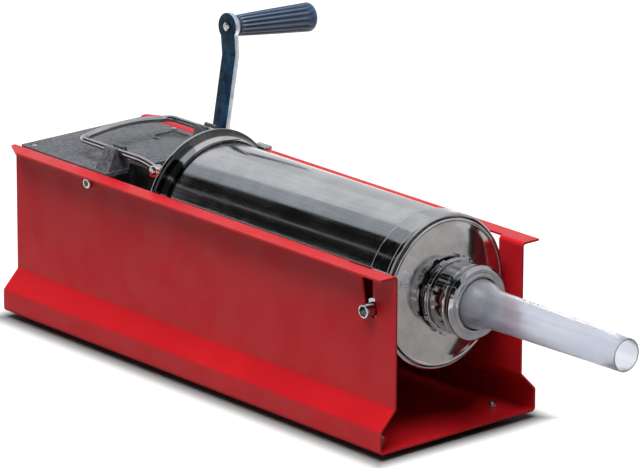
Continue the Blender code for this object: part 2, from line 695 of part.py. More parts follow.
def make_housing_screws(zinc):
    seat = WALL_OUTER + SEAT
    length = WALL_OUTER - HOUSING_HALF + SIDE_BOLT_GRIP - SHEET
    repeat("side_bolt", socket_bolt(seat, SIDE_BOLT_RADIUS, length), zinc, side_spots(*side_bolt_place()))
    low = FOOT_HEIGHT - SEAT
    head = 1.7 * BASE_SCREW_RADIUS
    profile = [(low - 0.0040, 0), (low - 0.0040, head - 0.0006), (low - 0.0034, head), (low, head),
               (low, BASE_SCREW_RADIUS), (PAN_TOP + 0.7 * HOUSING_FLOOR, BASE_SCREW_RADIUS),
               (PAN_TOP + 0.7 * HOUSING_FLOOR, 0)]
    repeat("base_screw", lathe(profile, SMALL, "Z"), zinc, base_screw_spots())


def bush(centre, low, high):
    bore = SHAFT_RADIUS + RUNNING
    outer = bore + BUSH_WALL
    return lathe([(low, bore), (low, outer), (high, outer), (high, bore)], FINE, "Y", centre)


def make_bushes(bronze):
    inner = CAVITY_HALF
    crank = (CRANK_X, CRANK_Z)
    lay = (LAY_X, LAY_Z)
    outside = WALL_OUTER + BUSH_REACH
    place("crank_bush_right", bush(crank, -HOUSING_HALF, -inner), bronze)
    place("crank_bush_left", bush(crank, inner, outside), bronze)
    place("layshaft_bush_right", bush(lay, -HOUSING_HALF, -inner), bronze)
    place("layshaft_bush_left", bush(lay, inner, HOUSING_HALF), bronze)
    half = guide_half()
    rack = [(-RACK_WIDTH / 2 - SEAT, AXIS_Z - RACK_HEIGHT / 2 - SEAT),
            (RACK_WIDTH / 2 + SEAT, AXIS_Z - RACK_HEIGHT / 2 - SEAT),
            (RACK_WIDTH / 2 + SEAT, AXIS_Z + RACK_HEIGHT / 2 + SEAT),
            (-RACK_WIDTH / 2 - SEAT, AXIS_Z + RACK_HEIGHT / 2 + SEAT)]
    outline = square((0.0, AXIS_Z), half)
    place("rack_guide_rear", plate(outline, "X", HOUSING_REAR, CAVITY_REAR, [rack]), bronze)
    place("rack_guide_front", plate(outline, "X", CAVITY_FRONT, HOUSING_FRONT, [rack]), bronze)


# Gears and rack

def involute_tooth(module, teeth):
    """Half-angles of one tooth at rising radii, from root to tip: (radius, half angle)."""
    pitch = module * teeth / 2
    base = pitch * math.cos(PRESSURE_ANGLE)
    root = pitch - 1.25 * module
    tip = pitch + module
    half_pitch = math.pi / (2 * teeth) - BACKLASH / 2 / (2 * pitch)
    start = max(base, root)
    flank = []
    if root < base:
        flank.append(root)
    flank += [start, start + 0.4 * (tip - start), tip]
    involute = math.tan(PRESSURE_ANGLE) - PRESSURE_ANGLE
    points = []
    for radius in flank:
        angle = math.acos(min(1.0, base / radius))
        points.append((radius, half_pitch + involute - (math.tan(angle) - angle)))
    return points


def gear_outline(centre, module, teeth, phase):
    """Closed (x, z) outline of a spur gear with one tooth centred on the phase angle."""
    tooth = involute_tooth(module, teeth)
    outline = []
    for k in range(teeth):
        middle = phase + math.tau * k / teeth
        for radius, half in [(r, -h) for r, h in tooth] + tooth[::-1]:
            angle = middle + half
            outline.append((centre[0] + radius * math.cos(angle), centre[1] + radius * math.sin(angle)))
    return outline


def wheel(centre, module, teeth, phase, low, high):
    bore = circle(centre, SHAFT_RADIUS + SEAT, FINE)
    return plate(gear_outline(centre, module, teeth, phase), "Y", low, high, [bore])


def rack_outline():
    """Side view (x, z) of the rack, teeth down, one gap straight over the pinion."""
    bottom = AXIS_Z - RACK_HEIGHT / 2
    top = AXIS_Z + RACK_HEIGHT / 2
    pitch = math.pi * RACK_MODULE
    root = bottom + 2.25 * RACK_MODULE
    slope = math.tan(PRESSURE_ANGLE)
    thin = BACKLASH / 4
    half = pitch / 4 - thin
    shoulder = PISTON_REAR_X - SEAT
    outline = [(RACK_REAR_X, top), (RACK_REAR_X, root)]
    at_tip = half - RACK_MODULE * slope
    at_root = half + 1.25 * RACK_MODULE * slope
    behind = math.floor((LAY_X - RACK_REAR_X - at_root) / pitch - 0.5)
    ahead = math.ceil((STROKE + RACK_PINION_RADIUS) / pitch)
    for k in range(-behind, ahead + 1):
        middle = LAY_X + (k - 0.5) * pitch
        outline += [(middle - at_root, root), (middle - at_tip, bottom), (middle + at_tip, bottom),
                    (middle + at_root, root)]
    outline += [(outline[-1][0] + pitch / 2, bottom), (shoulder, bottom), (shoulder, top)]
    return outline


def make_rack(steel):
    rack = place("piston_rack", plate(rack_outline(), "Y", -RACK_WIDTH / 2, RACK_WIDTH / 2), steel,
                 (PISTON_REAR_X, 0.0, AXIS_Z))
    start = PISTON_REAR_X - 0.010
    end = PISTON_FRONT_X + PISTON_NUT_HEIGHT + 0.0020
    stud = lathe([(start, 0), (start, RACK_STUD_RADIUS), (end - 0.0010, RACK_STUD_RADIUS),
                  (end, RACK_STUD_RADIUS - 0.0010), (end, 0)], FINE, "X", (0.0, AXIS_Z))
    boolean(rack, stud, "UNION")


def shaft(centre, low, high):
    profile = [(low, 0), (low, SHAFT_RADIUS - 0.0010), (low + 0.0010, SHAFT_RADIUS),
               (high - 0.0010, SHAFT_RADIUS), (high, SHAFT_RADIUS - 0.0010), (high, 0)]
    return lathe(profile, FINE, "Y", centre)


def spacer(centre, low, high):
    bore = SHAFT_RADIUS + SEAT
    return lathe([(low, bore), (low, bore + SPACER_WALL), (high, bore + SPACER_WALL), (high, bore)],
                 FINE, "Y", centre)


def make_gear_train(steel):
    crank = (CRANK_X, CRANK_Z)
    lay = (LAY_X, LAY_Z)
    line = math.atan2(CRANK_Z - LAY_Z, CRANK_X - LAY_X)
    gear_low = GEAR_OFFSET_Y
    gear_high = GEAR_OFFSET_Y + DRIVE_GEAR_WIDTH
    middle = (gear_low + gear_high) / 2
    pinion = (middle - CRANK_PINION_WIDTH / 2, middle + CRANK_PINION_WIDTH / 2)
    crank_phase = line + math.pi + math.pi / CRANK_PINION_TEETH
    crank_pivot = (CRANK_X, 0.0, CRANK_Z)
    lay_pivot = (LAY_X, 0.0, LAY_Z)
    place("crank_pinion", wheel(crank, GEAR_MODULE, CRANK_PINION_TEETH, crank_phase, *pinion), steel,
          crank_pivot)
    place("drive_gear", wheel(lay, GEAR_MODULE, DRIVE_GEAR_TEETH, line, gear_low, gear_high), steel,
          lay_pivot)
    half = RACK_PINION_WIDTH / 2
    place("rack_pinion", wheel(lay, RACK_MODULE, RACK_PINION_TEETH, math.pi / 2, -half, half), steel,
          lay_pivot)
    end = HOUSING_HALF - SEAT
    place("layshaft", shaft(lay, -end, end), steel, lay_pivot)
    wall = CAVITY_HALF - SEAT
    place("layshaft_spacer_right", spacer(lay, -wall, -half - SEAT), steel, lay_pivot)
    place("layshaft_spacer_middle", spacer(lay, half + SEAT, gear_low - SEAT), steel, lay_pivot)
    place("layshaft_spacer_left", spacer(lay, gear_high + SEAT, wall), steel, lay_pivot)
    place("crank_spacer_right", spacer(crank, -wall, pinion[0] - SEAT), steel, crank_pivot)
    place("crank_spacer_left", spacer(crank, pinion[1] + SEAT, wall), steel, crank_pivot)


# Cylinder with its rear ring, front band, trunnions and cap

def make_cylinder(stainless):
    profile = [(TUBE_REAR_X, TUBE_BORE), (TUBE_REAR_X, TUBE_RADIUS), (TUBE_FRONT_X, TUBE_RADIUS),
               (TUBE_FRONT_X, TUBE_BORE)]
    place("cylinder_tube", lathe(profile, ROUND, "X", (0.0, AXIS_Z)), stainless)


def lug_reach():
    """From the inner to the outer face of a bail lug, as distances from the middle plane."""
    inner = BAIL_HALF_WIDTH + BAIL_EYE_WIDTH / 2 + SEAT
    return inner, inner + LUG_THICKNESS


def bail_lug(side):
    """A lug that stands back from the ring and carries one pivot of the bail."""
    centre = (BAIL_PIVOT_X, BAIL_PIVOT_Z)
    hole = circle(centre, BAIL_PIN_RADIUS + SEAT, SMALL)
    front = RING_REAR_X + LUG_ROOT
    low = BAIL_PIVOT_Z - BAIL_EYE_RADIUS - 0.0010
    outline = arc(centre, BAIL_EYE_RADIUS, 90, 180, 5)
    outline += [(BAIL_PIVOT_X - BAIL_EYE_RADIUS, low), (front, low), (front, BAIL_PIVOT_Z + BAIL_EYE_RADIUS)]
    return plate(outline, "Y", *sorted(side * reach for reach in lug_reach()), [hole])


def make_rear_ring(chrome):
    bore = TUBE_RADIUS + SEAT
    rear = RING_REAR_X
    front = RING_REAR_X + RING_LENGTH
    rim = TUBE_RADIUS + RING_FLARE
    bead = 0.0024
    profile = [(rear, bore), (rear, rim - bead)]
    profile += [(rear + bead + across, rim - bead + up) for across, up in arc((0, 0), bead, 140, 30, 2)]
    for k in range(4):
        share = k / 3
        profile.append((rear + 2 * bead + (front - rear - 2 * bead) * share,
                        rim - bead - (rim - bead - bore - 0.0008) * math.sin(share * math.pi / 2) ** 0.8))
    profile.append((front, bore))
    flat = WALL_INNER - SLIDING

    def trimmed(along, radius, angle):
        """The ring's sides are cut flat, so that it drops in between the trough walls."""
        return min(radius, flat / max(abs(math.cos(angle)), 1e-6))

    ring = place("rear_ring", lathe(profile, ROUND + 8, "X", (0.0, AXIS_Z), trimmed), chrome)
    boolean(ring, joined(bail_lug(-1), bail_lug(1)), "UNION")


def make_front_band(chrome):
    bore = TUBE_RADIUS + SEAT
    outer = bore + BAND_WALL
    front = TUBE_FRONT_X + BAND_LIP
    rear = front - BAND_WIDTH
    lip = 0.0012
    profile = [(rear, bore), (rear, outer), (front - 3 * lip, outer), (front - 2 * lip, outer + 0.4 * lip),
               (front - lip, outer + 0.4 * lip), (front, outer - lip), (front, bore)]
    band = place("front_band", lathe(profile, ROUND, "X", (0.0, AXIS_Z)), chrome)
    bosses = []
    holes = []
    for side in (-1, 1):
        reach = sorted((side * (TUBE_RADIUS + BAND_WALL / 2), side * (WALL_INNER - 2 * SEAT)))
        bosses.append(plate(circle((PIN_X, PIN_Z), PIN_RADIUS + 0.0035, FINE), "Y", *reach))
        reach = sorted((side * (TUBE_RADIUS - 0.0040), side * WALL_OUTER))
        holes.append(plate(circle((PIN_X, PIN_Z), PIN_RADIUS + SEAT, FINE), "Y", *reach))
    boolean(band, joined(*bosses), "UNION")
    boolean_again(band, joined(*holes), "DIFFERENCE", "pin_holes")


def make_trunnion_pins(zinc):
    inner = TUBE_RADIUS + SEAT
    outer = WALL_OUTER + PIN_REACH
    edge = 0.0008
    socket = 0.58 * PIN_RADIUS
    profile = [(inner, 0), (inner, PIN_RADIUS), (outer - edge, PIN_RADIUS), (outer, PIN_RADIUS - edge),
               (outer, socket), (outer - 0.0055, socket), (outer - 0.0055, 0)]
    repeat("trunnion_pin", lathe(profile, FINE, "Y"), zinc, side_spots(PIN_X, PIN_Z))


def make_end_cap(stainless):
    """A spun cap: skirt in the tube, rolled edge over its end, domed face and threaded neck."""
    skirt = TUBE_BORE - SEAT
    edge = TUBE_RADIUS - 0.0008
    inner = NECK_BORE_RADIUS
    face = CAP_FACE_X
    dome = CAP_BULGE
    front = [(TUBE_FRONT_X - CAP_SKIRT, skirt), (CAP_EDGE_X, skirt), (CAP_EDGE_X, edge - 0.0006)]
    front += [(face - CAP_EDGE / 2 + along, edge - 0.0016 + up)
              for along, up in arc((0, 0), 0.0016, 90, 0, 2)]
    for k in range(1, 4):
        share = k / 3
        radius = edge - 0.0040 - (edge - 0.0040 - NECK_RADIUS - 0.0010) * share
        front.append((face - 0.0010 + dome * (1 - (1 - share) ** 2), radius))
    front += [(face + dome, NECK_RADIUS), (NECK_END_X, NECK_RADIUS), (NECK_END_X, inner)]
    back = [(face + dome - 2 * CAP_WALL, inner)]
    for k in range(3):
        share = k / 2
        radius = inner + 0.0040 + (skirt - CAP_WALL - inner - 0.0080) * share
        back.append((face - 0.0010 - CAP_WALL + dome * (1 - share ** 2) - 0.0006, radius))
    back += [(face - CAP_EDGE / 2, skirt - CAP_WALL), (TUBE_FRONT_X - CAP_SKIRT, skirt - CAP_WALL)]
    place("end_cap", lathe(front + back, ROUND, "X", (0.0, AXIS_Z)), stainless)


# Nozzle, gasket and ring nut

def make_gasket(silicone):
    low = NECK_END_X + SEAT
    profile = [(low, NECK_BORE_RADIUS), (low, NECK_RADIUS - 0.0010),
               (low + GASKET_THICKNESS - SEAT, NECK_RADIUS - 0.0010),
               (low + GASKET_THICKNESS - SEAT, NECK_BORE_RADIUS)]
    place("nozzle_gasket", lathe(profile, MEDIUM, "X", (0.0, AXIS_Z)), silicone)


def nozzle_radius(x):
    """Outside radius of the nozzle in front of its flange: a bell, then a slow taper."""
    start = NUT_SEAT_X
    if x < start + NOZZLE_BELL:
        share = (x - start) / NOZZLE_BELL
        drop = NOZZLE_ROOT_RADIUS - NOZZLE_TUBE_RADIUS
        return NOZZLE_ROOT_RADIUS - drop * (0.5 - 0.5 * math.cos(math.pi * share ** 1.15))
    share = (x - start - NOZZLE_BELL) / (NOZZLE_REACH - start - NOZZLE_BELL)
    return NOZZLE_TUBE_RADIUS + (NOZZLE_TIP_RADIUS - NOZZLE_TUBE_RADIUS) * share


def make_nozzle(plastic):
    low = NECK_END_X + GASKET_THICKNESS + 2 * SEAT
    flange = NECK_RADIUS - 0.0006
    stations = [NUT_SEAT_X + NOZZLE_BELL * k / 5 for k in range(6)] + [NOZZLE_REACH]
    outside = [(x, nozzle_radius(x)) for x in stations]
    inside = [(x, radius - NOZZLE_WALL) for x, radius in reversed(outside)]
    profile = [(low, NOZZLE_ROOT_RADIUS - NOZZLE_WALL), (low, flange), (low + NOZZLE_FLANGE, flange),
               (low + NOZZLE_FLANGE, NOZZLE_ROOT_RADIUS)]
    profile += outside[1:] + inside[:-1]
    place("nozzle", lathe(profile, MEDIUM, "X", (0.0, AXIS_Z)), plastic, (NUT_SEAT_X, 0.0, AXIS_Z))


def make_ring_nut(chrome):
    rear = NUT_REAR_X
    front = NUT_FRONT_X
    waist = NUT_BORE + NUT_WALL
    rim = waist + NUT_RIM
    length = front - rear
    rear_rim = 0.24 * length
    front_rim = 0.36 * length
    nose = 0.0045
    profile = [(rear, NUT_BORE), (rear, rim - 0.0010), (rear + 0.0010, rim), (rear + rear_rim - 0.0020, rim),
               (rear + rear_rim, waist), (front - front_rim - 0.0030, waist), (front - front_rim, rim - 0.0004),
               (front - nose, rim - 0.0004), (front - 0.4 * nose, rim - 0.4 * nose), (front, rim - 1.2 * nose),
               (front, NUT_MOUTH_RADIUS), (NUT_SEAT_X, NUT_MOUTH_RADIUS), (NUT_SEAT_X, NUT_BORE)]

    def lugged(along, radius, angle):
        """Spanner lugs stand out of the rear rim and run as ribs across the waist."""
        if radius <= NUT_BORE or along > front - front_rim:
            return radius
        crest = max(0.0, -math.cos(NUT_LUGS * angle)) ** 3
        return radius + crest * (NUT_LUG if radius > waist else NUT_RIM / 2)

    sides = NUT_LUGS * 6
    place("ring_nut", lathe(profile, sides, "X", (0.0, AXIS_Z), lugged), chrome, (NUT_SEAT_X, 0.0, AXIS_Z))


# Piston

def make_piston(plastic, silicone, steel):
    outer = TUBE_BORE - PISTON_GAP
    seal_low = PISTON_REAR_X + (PISTON_LENGTH - SEAL_WIDTH) / 2
    seal_high = seal_low + SEAL_WIDTH
    groove = outer - SEAL_DEPTH
    bore = RACK_STUD_RADIUS + SEAT
    edge = 0.0015
    profile = [(PISTON_REAR_X, bore), (PISTON_REAR_X, outer), (seal_low, outer), (seal_low, groove),
               (seal_high, groove), (seal_high, outer), (PISTON_FRONT_X - edge, outer),
               (PISTON_FRONT_X, outer - edge), (PISTON_FRONT_X, bore)]
    pivot = (PISTON_REAR_X, 0.0, AXIS_Z)
    centre = (0.0, AXIS_Z)
    place("piston_head", lathe(profile, ROUND, "X", centre), plastic, pivot)
    rim = TUBE_BORE - SEAT
    profile = [(seal_low + SEAT, groove + SEAT), (seal_low + SEAT, outer), ((seal_low + seal_high) / 2, rim),
               (seal_high - SEAT, outer), (seal_high - SEAT, groove + SEAT)]
    place("piston_seal", lathe(profile, ROUND, "X", centre), silicone, pivot)
    low = PISTON_FRONT_X + SEAT
    bore_outline = circle(centre, RACK_STUD_RADIUS + SEAT, FINE)
    nut = plate(hexagon(centre, PISTON_NUT_FLATS), "X", low, low + PISTON_NUT_HEIGHT, [bore_outline])
    place("piston_nut", nut, steel, pivot)


# Bail, its lugs and pins

def bail_path():
    """From the near pivot back along the leg, over the lid behind, and forward to the far pivot."""
    start = Vector((BAIL_PIVOT_X, 0.0, BAIL_PIVOT_Z))
    knee = Vector((BAIL_PIVOT_X - BAIL_DROP_LENGTH, 0.0, BAIL_Z))
    lead = (knee - start).normalized() * (0.75 * BAIL_EYE_RADIUS)
    near = [start + lead, start + (knee - start) * 0.7, knee + (knee - start) * 0.05]
    near[-1].z = BAIL_Z - 0.0004
    near.append(Vector((knee.x - 0.006, 0.0, BAIL_Z)))
    half = [(point.x, -BAIL_HALF_WIDTH, point.z) for point in near]
    corner = (BAIL_REAR_X + BAIL_CORNER, -BAIL_HALF_WIDTH + BAIL_CORNER)
    half += [(x, y, BAIL_Z) for x, y in arc(corner, BAIL_CORNER, 270, 180, 5)]
    reach = BAIL_HALF_WIDTH - BAIL_CORNER
    steps = 4
    for k in range(1, steps + 1):
        y = -reach * (1 - k / steps)
        half.append((BAIL_REAR_X, y, BAIL_Z + BAIL_ARCH * (1 - (y / reach) ** 2)))
    return half + [(x, -y, z) for x, y, z in reversed(half[:-1])]


def make_bail(stainless):
    pivot = (BAIL_PIVOT_X, 0.0, BAIL_PIVOT_Z)
    bail = place("latch_bail", rod(bail_path(), BAIL_ROD_RADIUS, 8), stainless, pivot)
    eyes = []
    low = BAIL_HALF_WIDTH - BAIL_EYE_WIDTH / 2
    high = BAIL_HALF_WIDTH + BAIL_EYE_WIDTH / 2
    hole = BAIL_PIN_RADIUS + SEAT
    for side in (-1, 1):
        profile = [(side * low, hole), (side * low, BAIL_EYE_RADIUS), (side * high, BAIL_EYE_RADIUS),
                   (side * high, hole)]
        eyes.append(lathe(profile, FINE, "Y", (BAIL_PIVOT_X, BAIL_PIVOT_Z)))
    boolean(bail, joined(*eyes), "UNION")


def make_bail_pins(zinc):
    """The shoulder pins that the bail's eyes turn on, headed outside the ring's lugs."""
    low, high = lug_reach()
    tip = low - BAIL_EYE_WIDTH - 2 * SEAT
    head = 2 * BAIL_PIN_RADIUS
    profile = [(tip, 0), (tip, BAIL_PIN_RADIUS), (high + SEAT, BAIL_PIN_RADIUS), (high + SEAT, head),
               (high + 0.0020, head), (high + 0.0026, head - 0.0008), (high + 0.0026, 0)]
    repeat("bail_pin", lathe(profile, SMALL, "Y"), zinc, side_spots(BAIL_PIVOT_X, BAIL_PIVOT_Z))


# Crank

def arm_outline():
    """Flat pattern of the arm, (across, along) from the hub centre, before it is bent."""
    spread = math.degrees(math.acos(ARM_HALF_WIDTH / CRANK_HUB_RADIUS))
    top_spread = math.degrees(math.acos(ARM_HALF_WIDTH / ARM_BOSS_RADIUS))
    outline = arc((0.0, 0.0), CRANK_HUB_RADIUS, 180 - spread, 360 + spread, 9)
    outline += arc((0.0, ARM_LENGTH), ARM_BOSS_RADIUS, -top_spread, 180 + top_spread, 11)
    return outline


def bent(across, along, depth):
    """Where a point of the flat arm lies after both bends; depth runs through the thickness."""
    headings = (0.0, ARM_SLANT, ARM_LEAN)
    creases = (ARM_FOOT_LENGTH, ARM_FOOT_LENGTH + ARM_SLANT_LENGTH)
    y = CRANK_FACE_Y
    z = CRANK_Z
    travelled = 0.0
    for i, heading in enumerate(headings):
        end = creases[i] if i < 2 else math.inf
        step = min(along, end) - travelled
        y += step * math.sin(heading)
        z += step * math.cos(heading)
        travelled += step
        if along <= end:
            break
    lean = headings[i]
    stretch = 1.0
    for k, crease in enumerate(creases):
        if abs(along - crease) < 1e-6:
            lean = (headings[k] + headings[k + 1]) / 2
            stretch = 1 / math.cos((headings[k + 1] - headings[k]) / 2)
    depth *= stretch
    return Vector((CRANK_X + across, y + depth * math.cos(lean), z - depth * math.sin(lean)))


def make_crank_arm(blued):
    half = SHAFT_SQUARE / 2 + SEAT
    holes = [square((0.0, 0.0), half), circle((0.0, ARM_LENGTH), GRIP_BOLT_RADIUS + SEAT, FINE)]
    bm = plate(arm_outline(), "Z", 0.0, ARM_THICKNESS, holes)
    for crease in (ARM_FOOT_LENGTH, ARM_FOOT_LENGTH + ARM_SLANT_LENGTH):
        geometry = bm.verts[:] + bm.edges[:] + bm.faces[:]
        bmesh.ops.bisect_plane(bm, geom=geometry, dist=1e-7, plane_co=(0.0, crease, 0.0), plane_no=(0, 1, 0))
    for vert in bm.verts:
        vert.co = bent(vert.co.x, vert.co.y, vert.co.z)
    bmesh.ops.recalc_face_normals(bm, faces=bm.faces)
    arm = place_on_crank("crank_arm", bm, blued, (CRANK_X, 0.0, CRANK_Z))
    outline = circle((CRANK_X, CRANK_Z), CRANK_HUB_RADIUS - 0.0008, FINE)
    hub_low = CRANK_FACE_Y - CRANK_HUB_LENGTH
    hub = plate(outline, "Y", hub_low, CRANK_FACE_Y + ARM_THICKNESS / 2,
                [square((CRANK_X, CRANK_Z), half)])
    boolean(arm, hub, "UNION")


def make_crank_shaft(steel, zinc):
    """Round through the box, square in the crank's hub, held there by a screw and washer."""
    centre = (CRANK_X, CRANK_Z)
    pivot = (CRANK_X, 0.0, CRANK_Z)
    round_end = CRANK_FACE_Y - CRANK_HUB_LENGTH - SEAT
    square_end = CRANK_FACE_Y + ARM_THICKNESS - SEAT
    piece = place_on_crank("crank_shaft", shaft(centre, -HOUSING_HALF + SEAT, round_end), steel, pivot)
    tap = circle(centre, CRANK_SCREW_RADIUS + SEAT, SMALL)
    boolean(piece, plate(square(centre, SHAFT_SQUARE / 2), "Y", round_end - 0.010, square_end), "UNION")
    boolean_again(piece, plate(tap, "Y", square_end - 0.0120, square_end + SHEET), "DIFFERENCE", "tap")
    seat = CRANK_FACE_Y + ARM_THICKNESS + SEAT
    washer = seat + 0.0015
    head = 1.8 * CRANK_SCREW_RADIUS
    profile = [(seat - 0.0100, 0), (seat - 0.0100, CRANK_SCREW_RADIUS), (seat, CRANK_SCREW_RADIUS),
               (seat, 0.8 * CRANK_HUB_RADIUS), (washer, 0.8 * CRANK_HUB_RADIUS), (washer, head),
               (washer + 0.0035, head), (washer + 0.0045, head - 0.0010), (washer + 0.0045, 0)]
    place_on_crank("crank_screw", lathe(profile, FINE, "Y", centre), zinc, pivot)


def make_grip(plastic, zinc):
    """Fluted grip, turning on a shouldered bolt through the arm's boss."""
    pivot = bent(0.0, ARM_LENGTH, ARM_THICKNESS)
    centre = (pivot.x, pivot.z)
    start = pivot.y + GRIP_GAP
    end = start + GRIP_LENGTH
    dome = GRIP_DOME
    hole = GRIP_BOLT_RADIUS + SEAT
    profile = [(start + GRIP_BOLT_DEPTH, 0), (start + GRIP_BOLT_DEPTH, hole), (start, hole),
               (start, GRIP_ROOT_RADIUS - 0.0012), (start + 0.0015, GRIP_ROOT_RADIUS)]
    for k in range(1, 5):
        share = k / 4
        swell = GRIP_ROOT_RADIUS + (GRIP_END_RADIUS - GRIP_ROOT_RADIUS) * share ** 0.8
        profile.append((start + 0.0015 + (GRIP_LENGTH - dome - 0.0015) * share, swell))
    profile += [(end - dome + dome * math.sin(a), GRIP_END_RADIUS * math.cos(a) ** 0.7)
                for a in (math.radians(35), math.radians(70))]
    profile.append((end, 0))

    def fluted(along, radius, angle):
        """Shallow flutes along the body that fade out toward both ends."""
        if radius < 0.9 * GRIP_ROOT_RADIUS or along < start + 0.001 or along > end - dome + 0.0001:
            return radius
        return radius - GRIP_FLUTE_DEPTH * (0.5 - 0.5 * math.cos(GRIP_FLUTES * angle))

    grip = lathe(profile, GRIP_FLUTES * 4, "Y", centre, fluted)
    place_on_crank("crank_grip", grip, plastic, pivot, ARM_LEAN)
    head = 1.9 * GRIP_BOLT_RADIUS
    rear = pivot.y - ARM_THICKNESS - SEAT
    tail = start + GRIP_BOLT_DEPTH - 0.0020
    profile = [(rear - 0.0018, 0), (rear - 0.0018, 0.55 * head), (rear - 0.0010, 0.85 * head), (rear, head),
               (rear, GRIP_BOLT_RADIUS), (tail, GRIP_BOLT_RADIUS), (tail, 0)]
    place_on_crank("grip_bolt", lathe(profile, SMALL, "Y", centre), zinc, pivot, ARM_LEAN)


def centre_on_footprint():
    """Move the whole machine so that the origin is the centre of its bounding box's underside."""
    bpy.context.view_layer.update()
    corners = []
    for piece in bpy.data.objects:
        if piece.type == "MESH" and not piece.hide_render:
            corners += [piece.matrix_world @ vert.co for vert in piece.data.vertices]
    low_x = min(corner.x for corner in corners)
    high_x = max(corner.x for corner in corners)
    low_y = min(corner.y for corner in corners)
    high_y = max(corner.y for corner in corners)
    MACHINE.location = (-(low_x + high_x) / 2, -(low_y + high_y) / 2, 0.0)
    bpy.context.view_layer.update()


def build():
    red = make_material("red_enamel", (0.45, 0.022, 0.022), 0.25)
    cast = make_material("hammered_grey", (0.16, 0.165, 0.18), 0.45, 0.3)
    stainless = make_material("stainless", (0.62, 0.62, 0.63), 0.18, 1.0)
    chrome = make_material("chrome", (0.7, 0.7, 0.71), 0.08, 1.0)
    zinc = make_material("zinc_plate", (0.6, 0.6, 0.6), 0.3, 1.0)
    steel = make_material("gear_steel", (0.35, 0.35, 0.36), 0.4, 1.0)
    bronze = make_material("bronze", (0.5, 0.33, 0.14), 0.35, 1.0)
    rubber = make_material("black_rubber", (0.02, 0.02, 0.02), 0.8)
    blued = make_material("blued_steel", (0.03, 0.05, 0.09), 0.3, 0.8)
    grip_plastic = make_material("slate_plastic", (0.07, 0.09, 0.13), 0.45)
    milky = make_material("milky_plastic", (0.75, 0.76, 0.78), 0.35, 0.0, 0.8)
    white = make_material("white_plastic", (0.8, 0.8, 0.78), 0.4)
    silicone = make_material("silicone", (0.7, 0.68, 0.62), 0.6)
    make_trough(red)
    make_feet(rubber, zinc)
    make_housing(cast)
    make_lid(cast, zinc)
    make_housing_screws(zinc)
    make_bushes(bronze)
    make_rack(steel)
    make_gear_train(steel)
    make_cylinder(stainless)
    make_rear_ring(chrome)
    make_front_band(chrome)
    make_trunnion_pins(zinc)
    make_end_cap(stainless)
    make_gasket(silicone)
    make_nozzle(milky)
    make_ring_nut(chrome)
    make_piston(white, silicone, steel)
    make_bail(stainless)
    make_bail_pins(zinc)
    make_crank_arm(blued)
    make_crank_shaft(steel, zinc)
    make_grip(grip_plastic, zinc)
    centre_on_footprint()


clear_scene()
MACHINE = bpy.data.objects.new("machine_origin", None)
bpy.context.collection.objects.link(MACHINE)
build()
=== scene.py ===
"""The look of a horizontal sausage stuffer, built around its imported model."""
import json
import math

import bmesh
import bpy
from mathutils import Matrix, Vector


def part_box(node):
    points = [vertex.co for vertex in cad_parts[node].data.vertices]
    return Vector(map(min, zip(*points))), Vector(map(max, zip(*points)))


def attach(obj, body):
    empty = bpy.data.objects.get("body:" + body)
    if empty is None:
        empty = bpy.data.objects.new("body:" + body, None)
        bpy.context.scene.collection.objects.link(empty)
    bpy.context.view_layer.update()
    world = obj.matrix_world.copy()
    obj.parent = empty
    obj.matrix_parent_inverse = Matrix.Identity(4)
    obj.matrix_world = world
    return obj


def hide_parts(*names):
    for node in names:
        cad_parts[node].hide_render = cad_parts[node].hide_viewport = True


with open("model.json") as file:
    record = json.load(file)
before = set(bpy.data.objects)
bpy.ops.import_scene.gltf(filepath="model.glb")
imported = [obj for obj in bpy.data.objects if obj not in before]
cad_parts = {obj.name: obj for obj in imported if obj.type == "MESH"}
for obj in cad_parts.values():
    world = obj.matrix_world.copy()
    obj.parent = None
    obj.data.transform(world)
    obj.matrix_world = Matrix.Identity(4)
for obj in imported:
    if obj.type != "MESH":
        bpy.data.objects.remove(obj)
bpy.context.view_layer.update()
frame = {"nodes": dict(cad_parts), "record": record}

# Where the machine's own axes lie: X=0 is the trough's front, Y=0 its middle plane
TROUGH_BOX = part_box("frame_trough")
ORIGIN = Vector((TROUGH_BOX[1].x, (TROUGH_BOX[0].y + TROUGH_BOX[1].y) / 2, 0.0))
BODY_OF = {node: body for body, nodes in frame["record"]["behaviour"]["bodies"].items() for node in nodes}
SLOT_OF = {row["node"]: row["material_slot"] for row in frame["record"]["subparts"]}

# Sizes shared with the model, metres
SEAT = 0.0003
RUNNING = 0.0003
SLIDING = 0.0005
TUBE_RADIUS = 0.070
TUBE_WALL = 0.0015
TUBE_FRONT_X = -0.0240
TUBE_LENGTH = 0.3270
RING_FLARE = 0.0096
RING_LENGTH = 0.0190
RING_OVERHANG = 0.0020
BAND_WIDTH = 0.0270
BAND_WALL = 0.0022
BAND_LIP = 0.0025
CAP_WALL = 0.0016
CAP_SKIRT = 0.0100
CAP_BULGE = 0.0050
CAP_EDGE = 0.0055
NECK_RADIUS = 0.0280
NECK_BORE_RADIUS = 0.0242
NECK_LENGTH = 0.0240
SHEET = 0.0020
LOADING_GAP = 0.0600
SIDE_GAP = 0.0060
UNDER_GAP = 0.0576
FLANGE_WIDTH = 0.0188
FLARE_OUT = 0.0176
FLARE_TOP = 0.0395
FLARE_FOOT = 0.0218
BEND_RADIUS = 0.0030
FLANGE_CHAMFER_X = 0.0230
FLANGE_CHAMFER_Y = 0.0130
FOOT_HEIGHT = 0.0065
FOOT_RADIUS = 0.0120
FOOT_INSET_X = 0.0300
FOOT_INSET_Y = 0.0266
FOOT_SCREW_RADIUS = 0.0025
FOOT_SCREW_TAIL = 0.0060
BASE_SCREW_RADIUS = 0.0030
BASE_SCREW_INSET = 0.0200
SIDE_BOLT_RADIUS = 0.0030
SIDE_BOLT_INSET = 0.0235
SIDE_BOLT_DROP = 0.0132
LID_SCREW_RADIUS = 0.0020
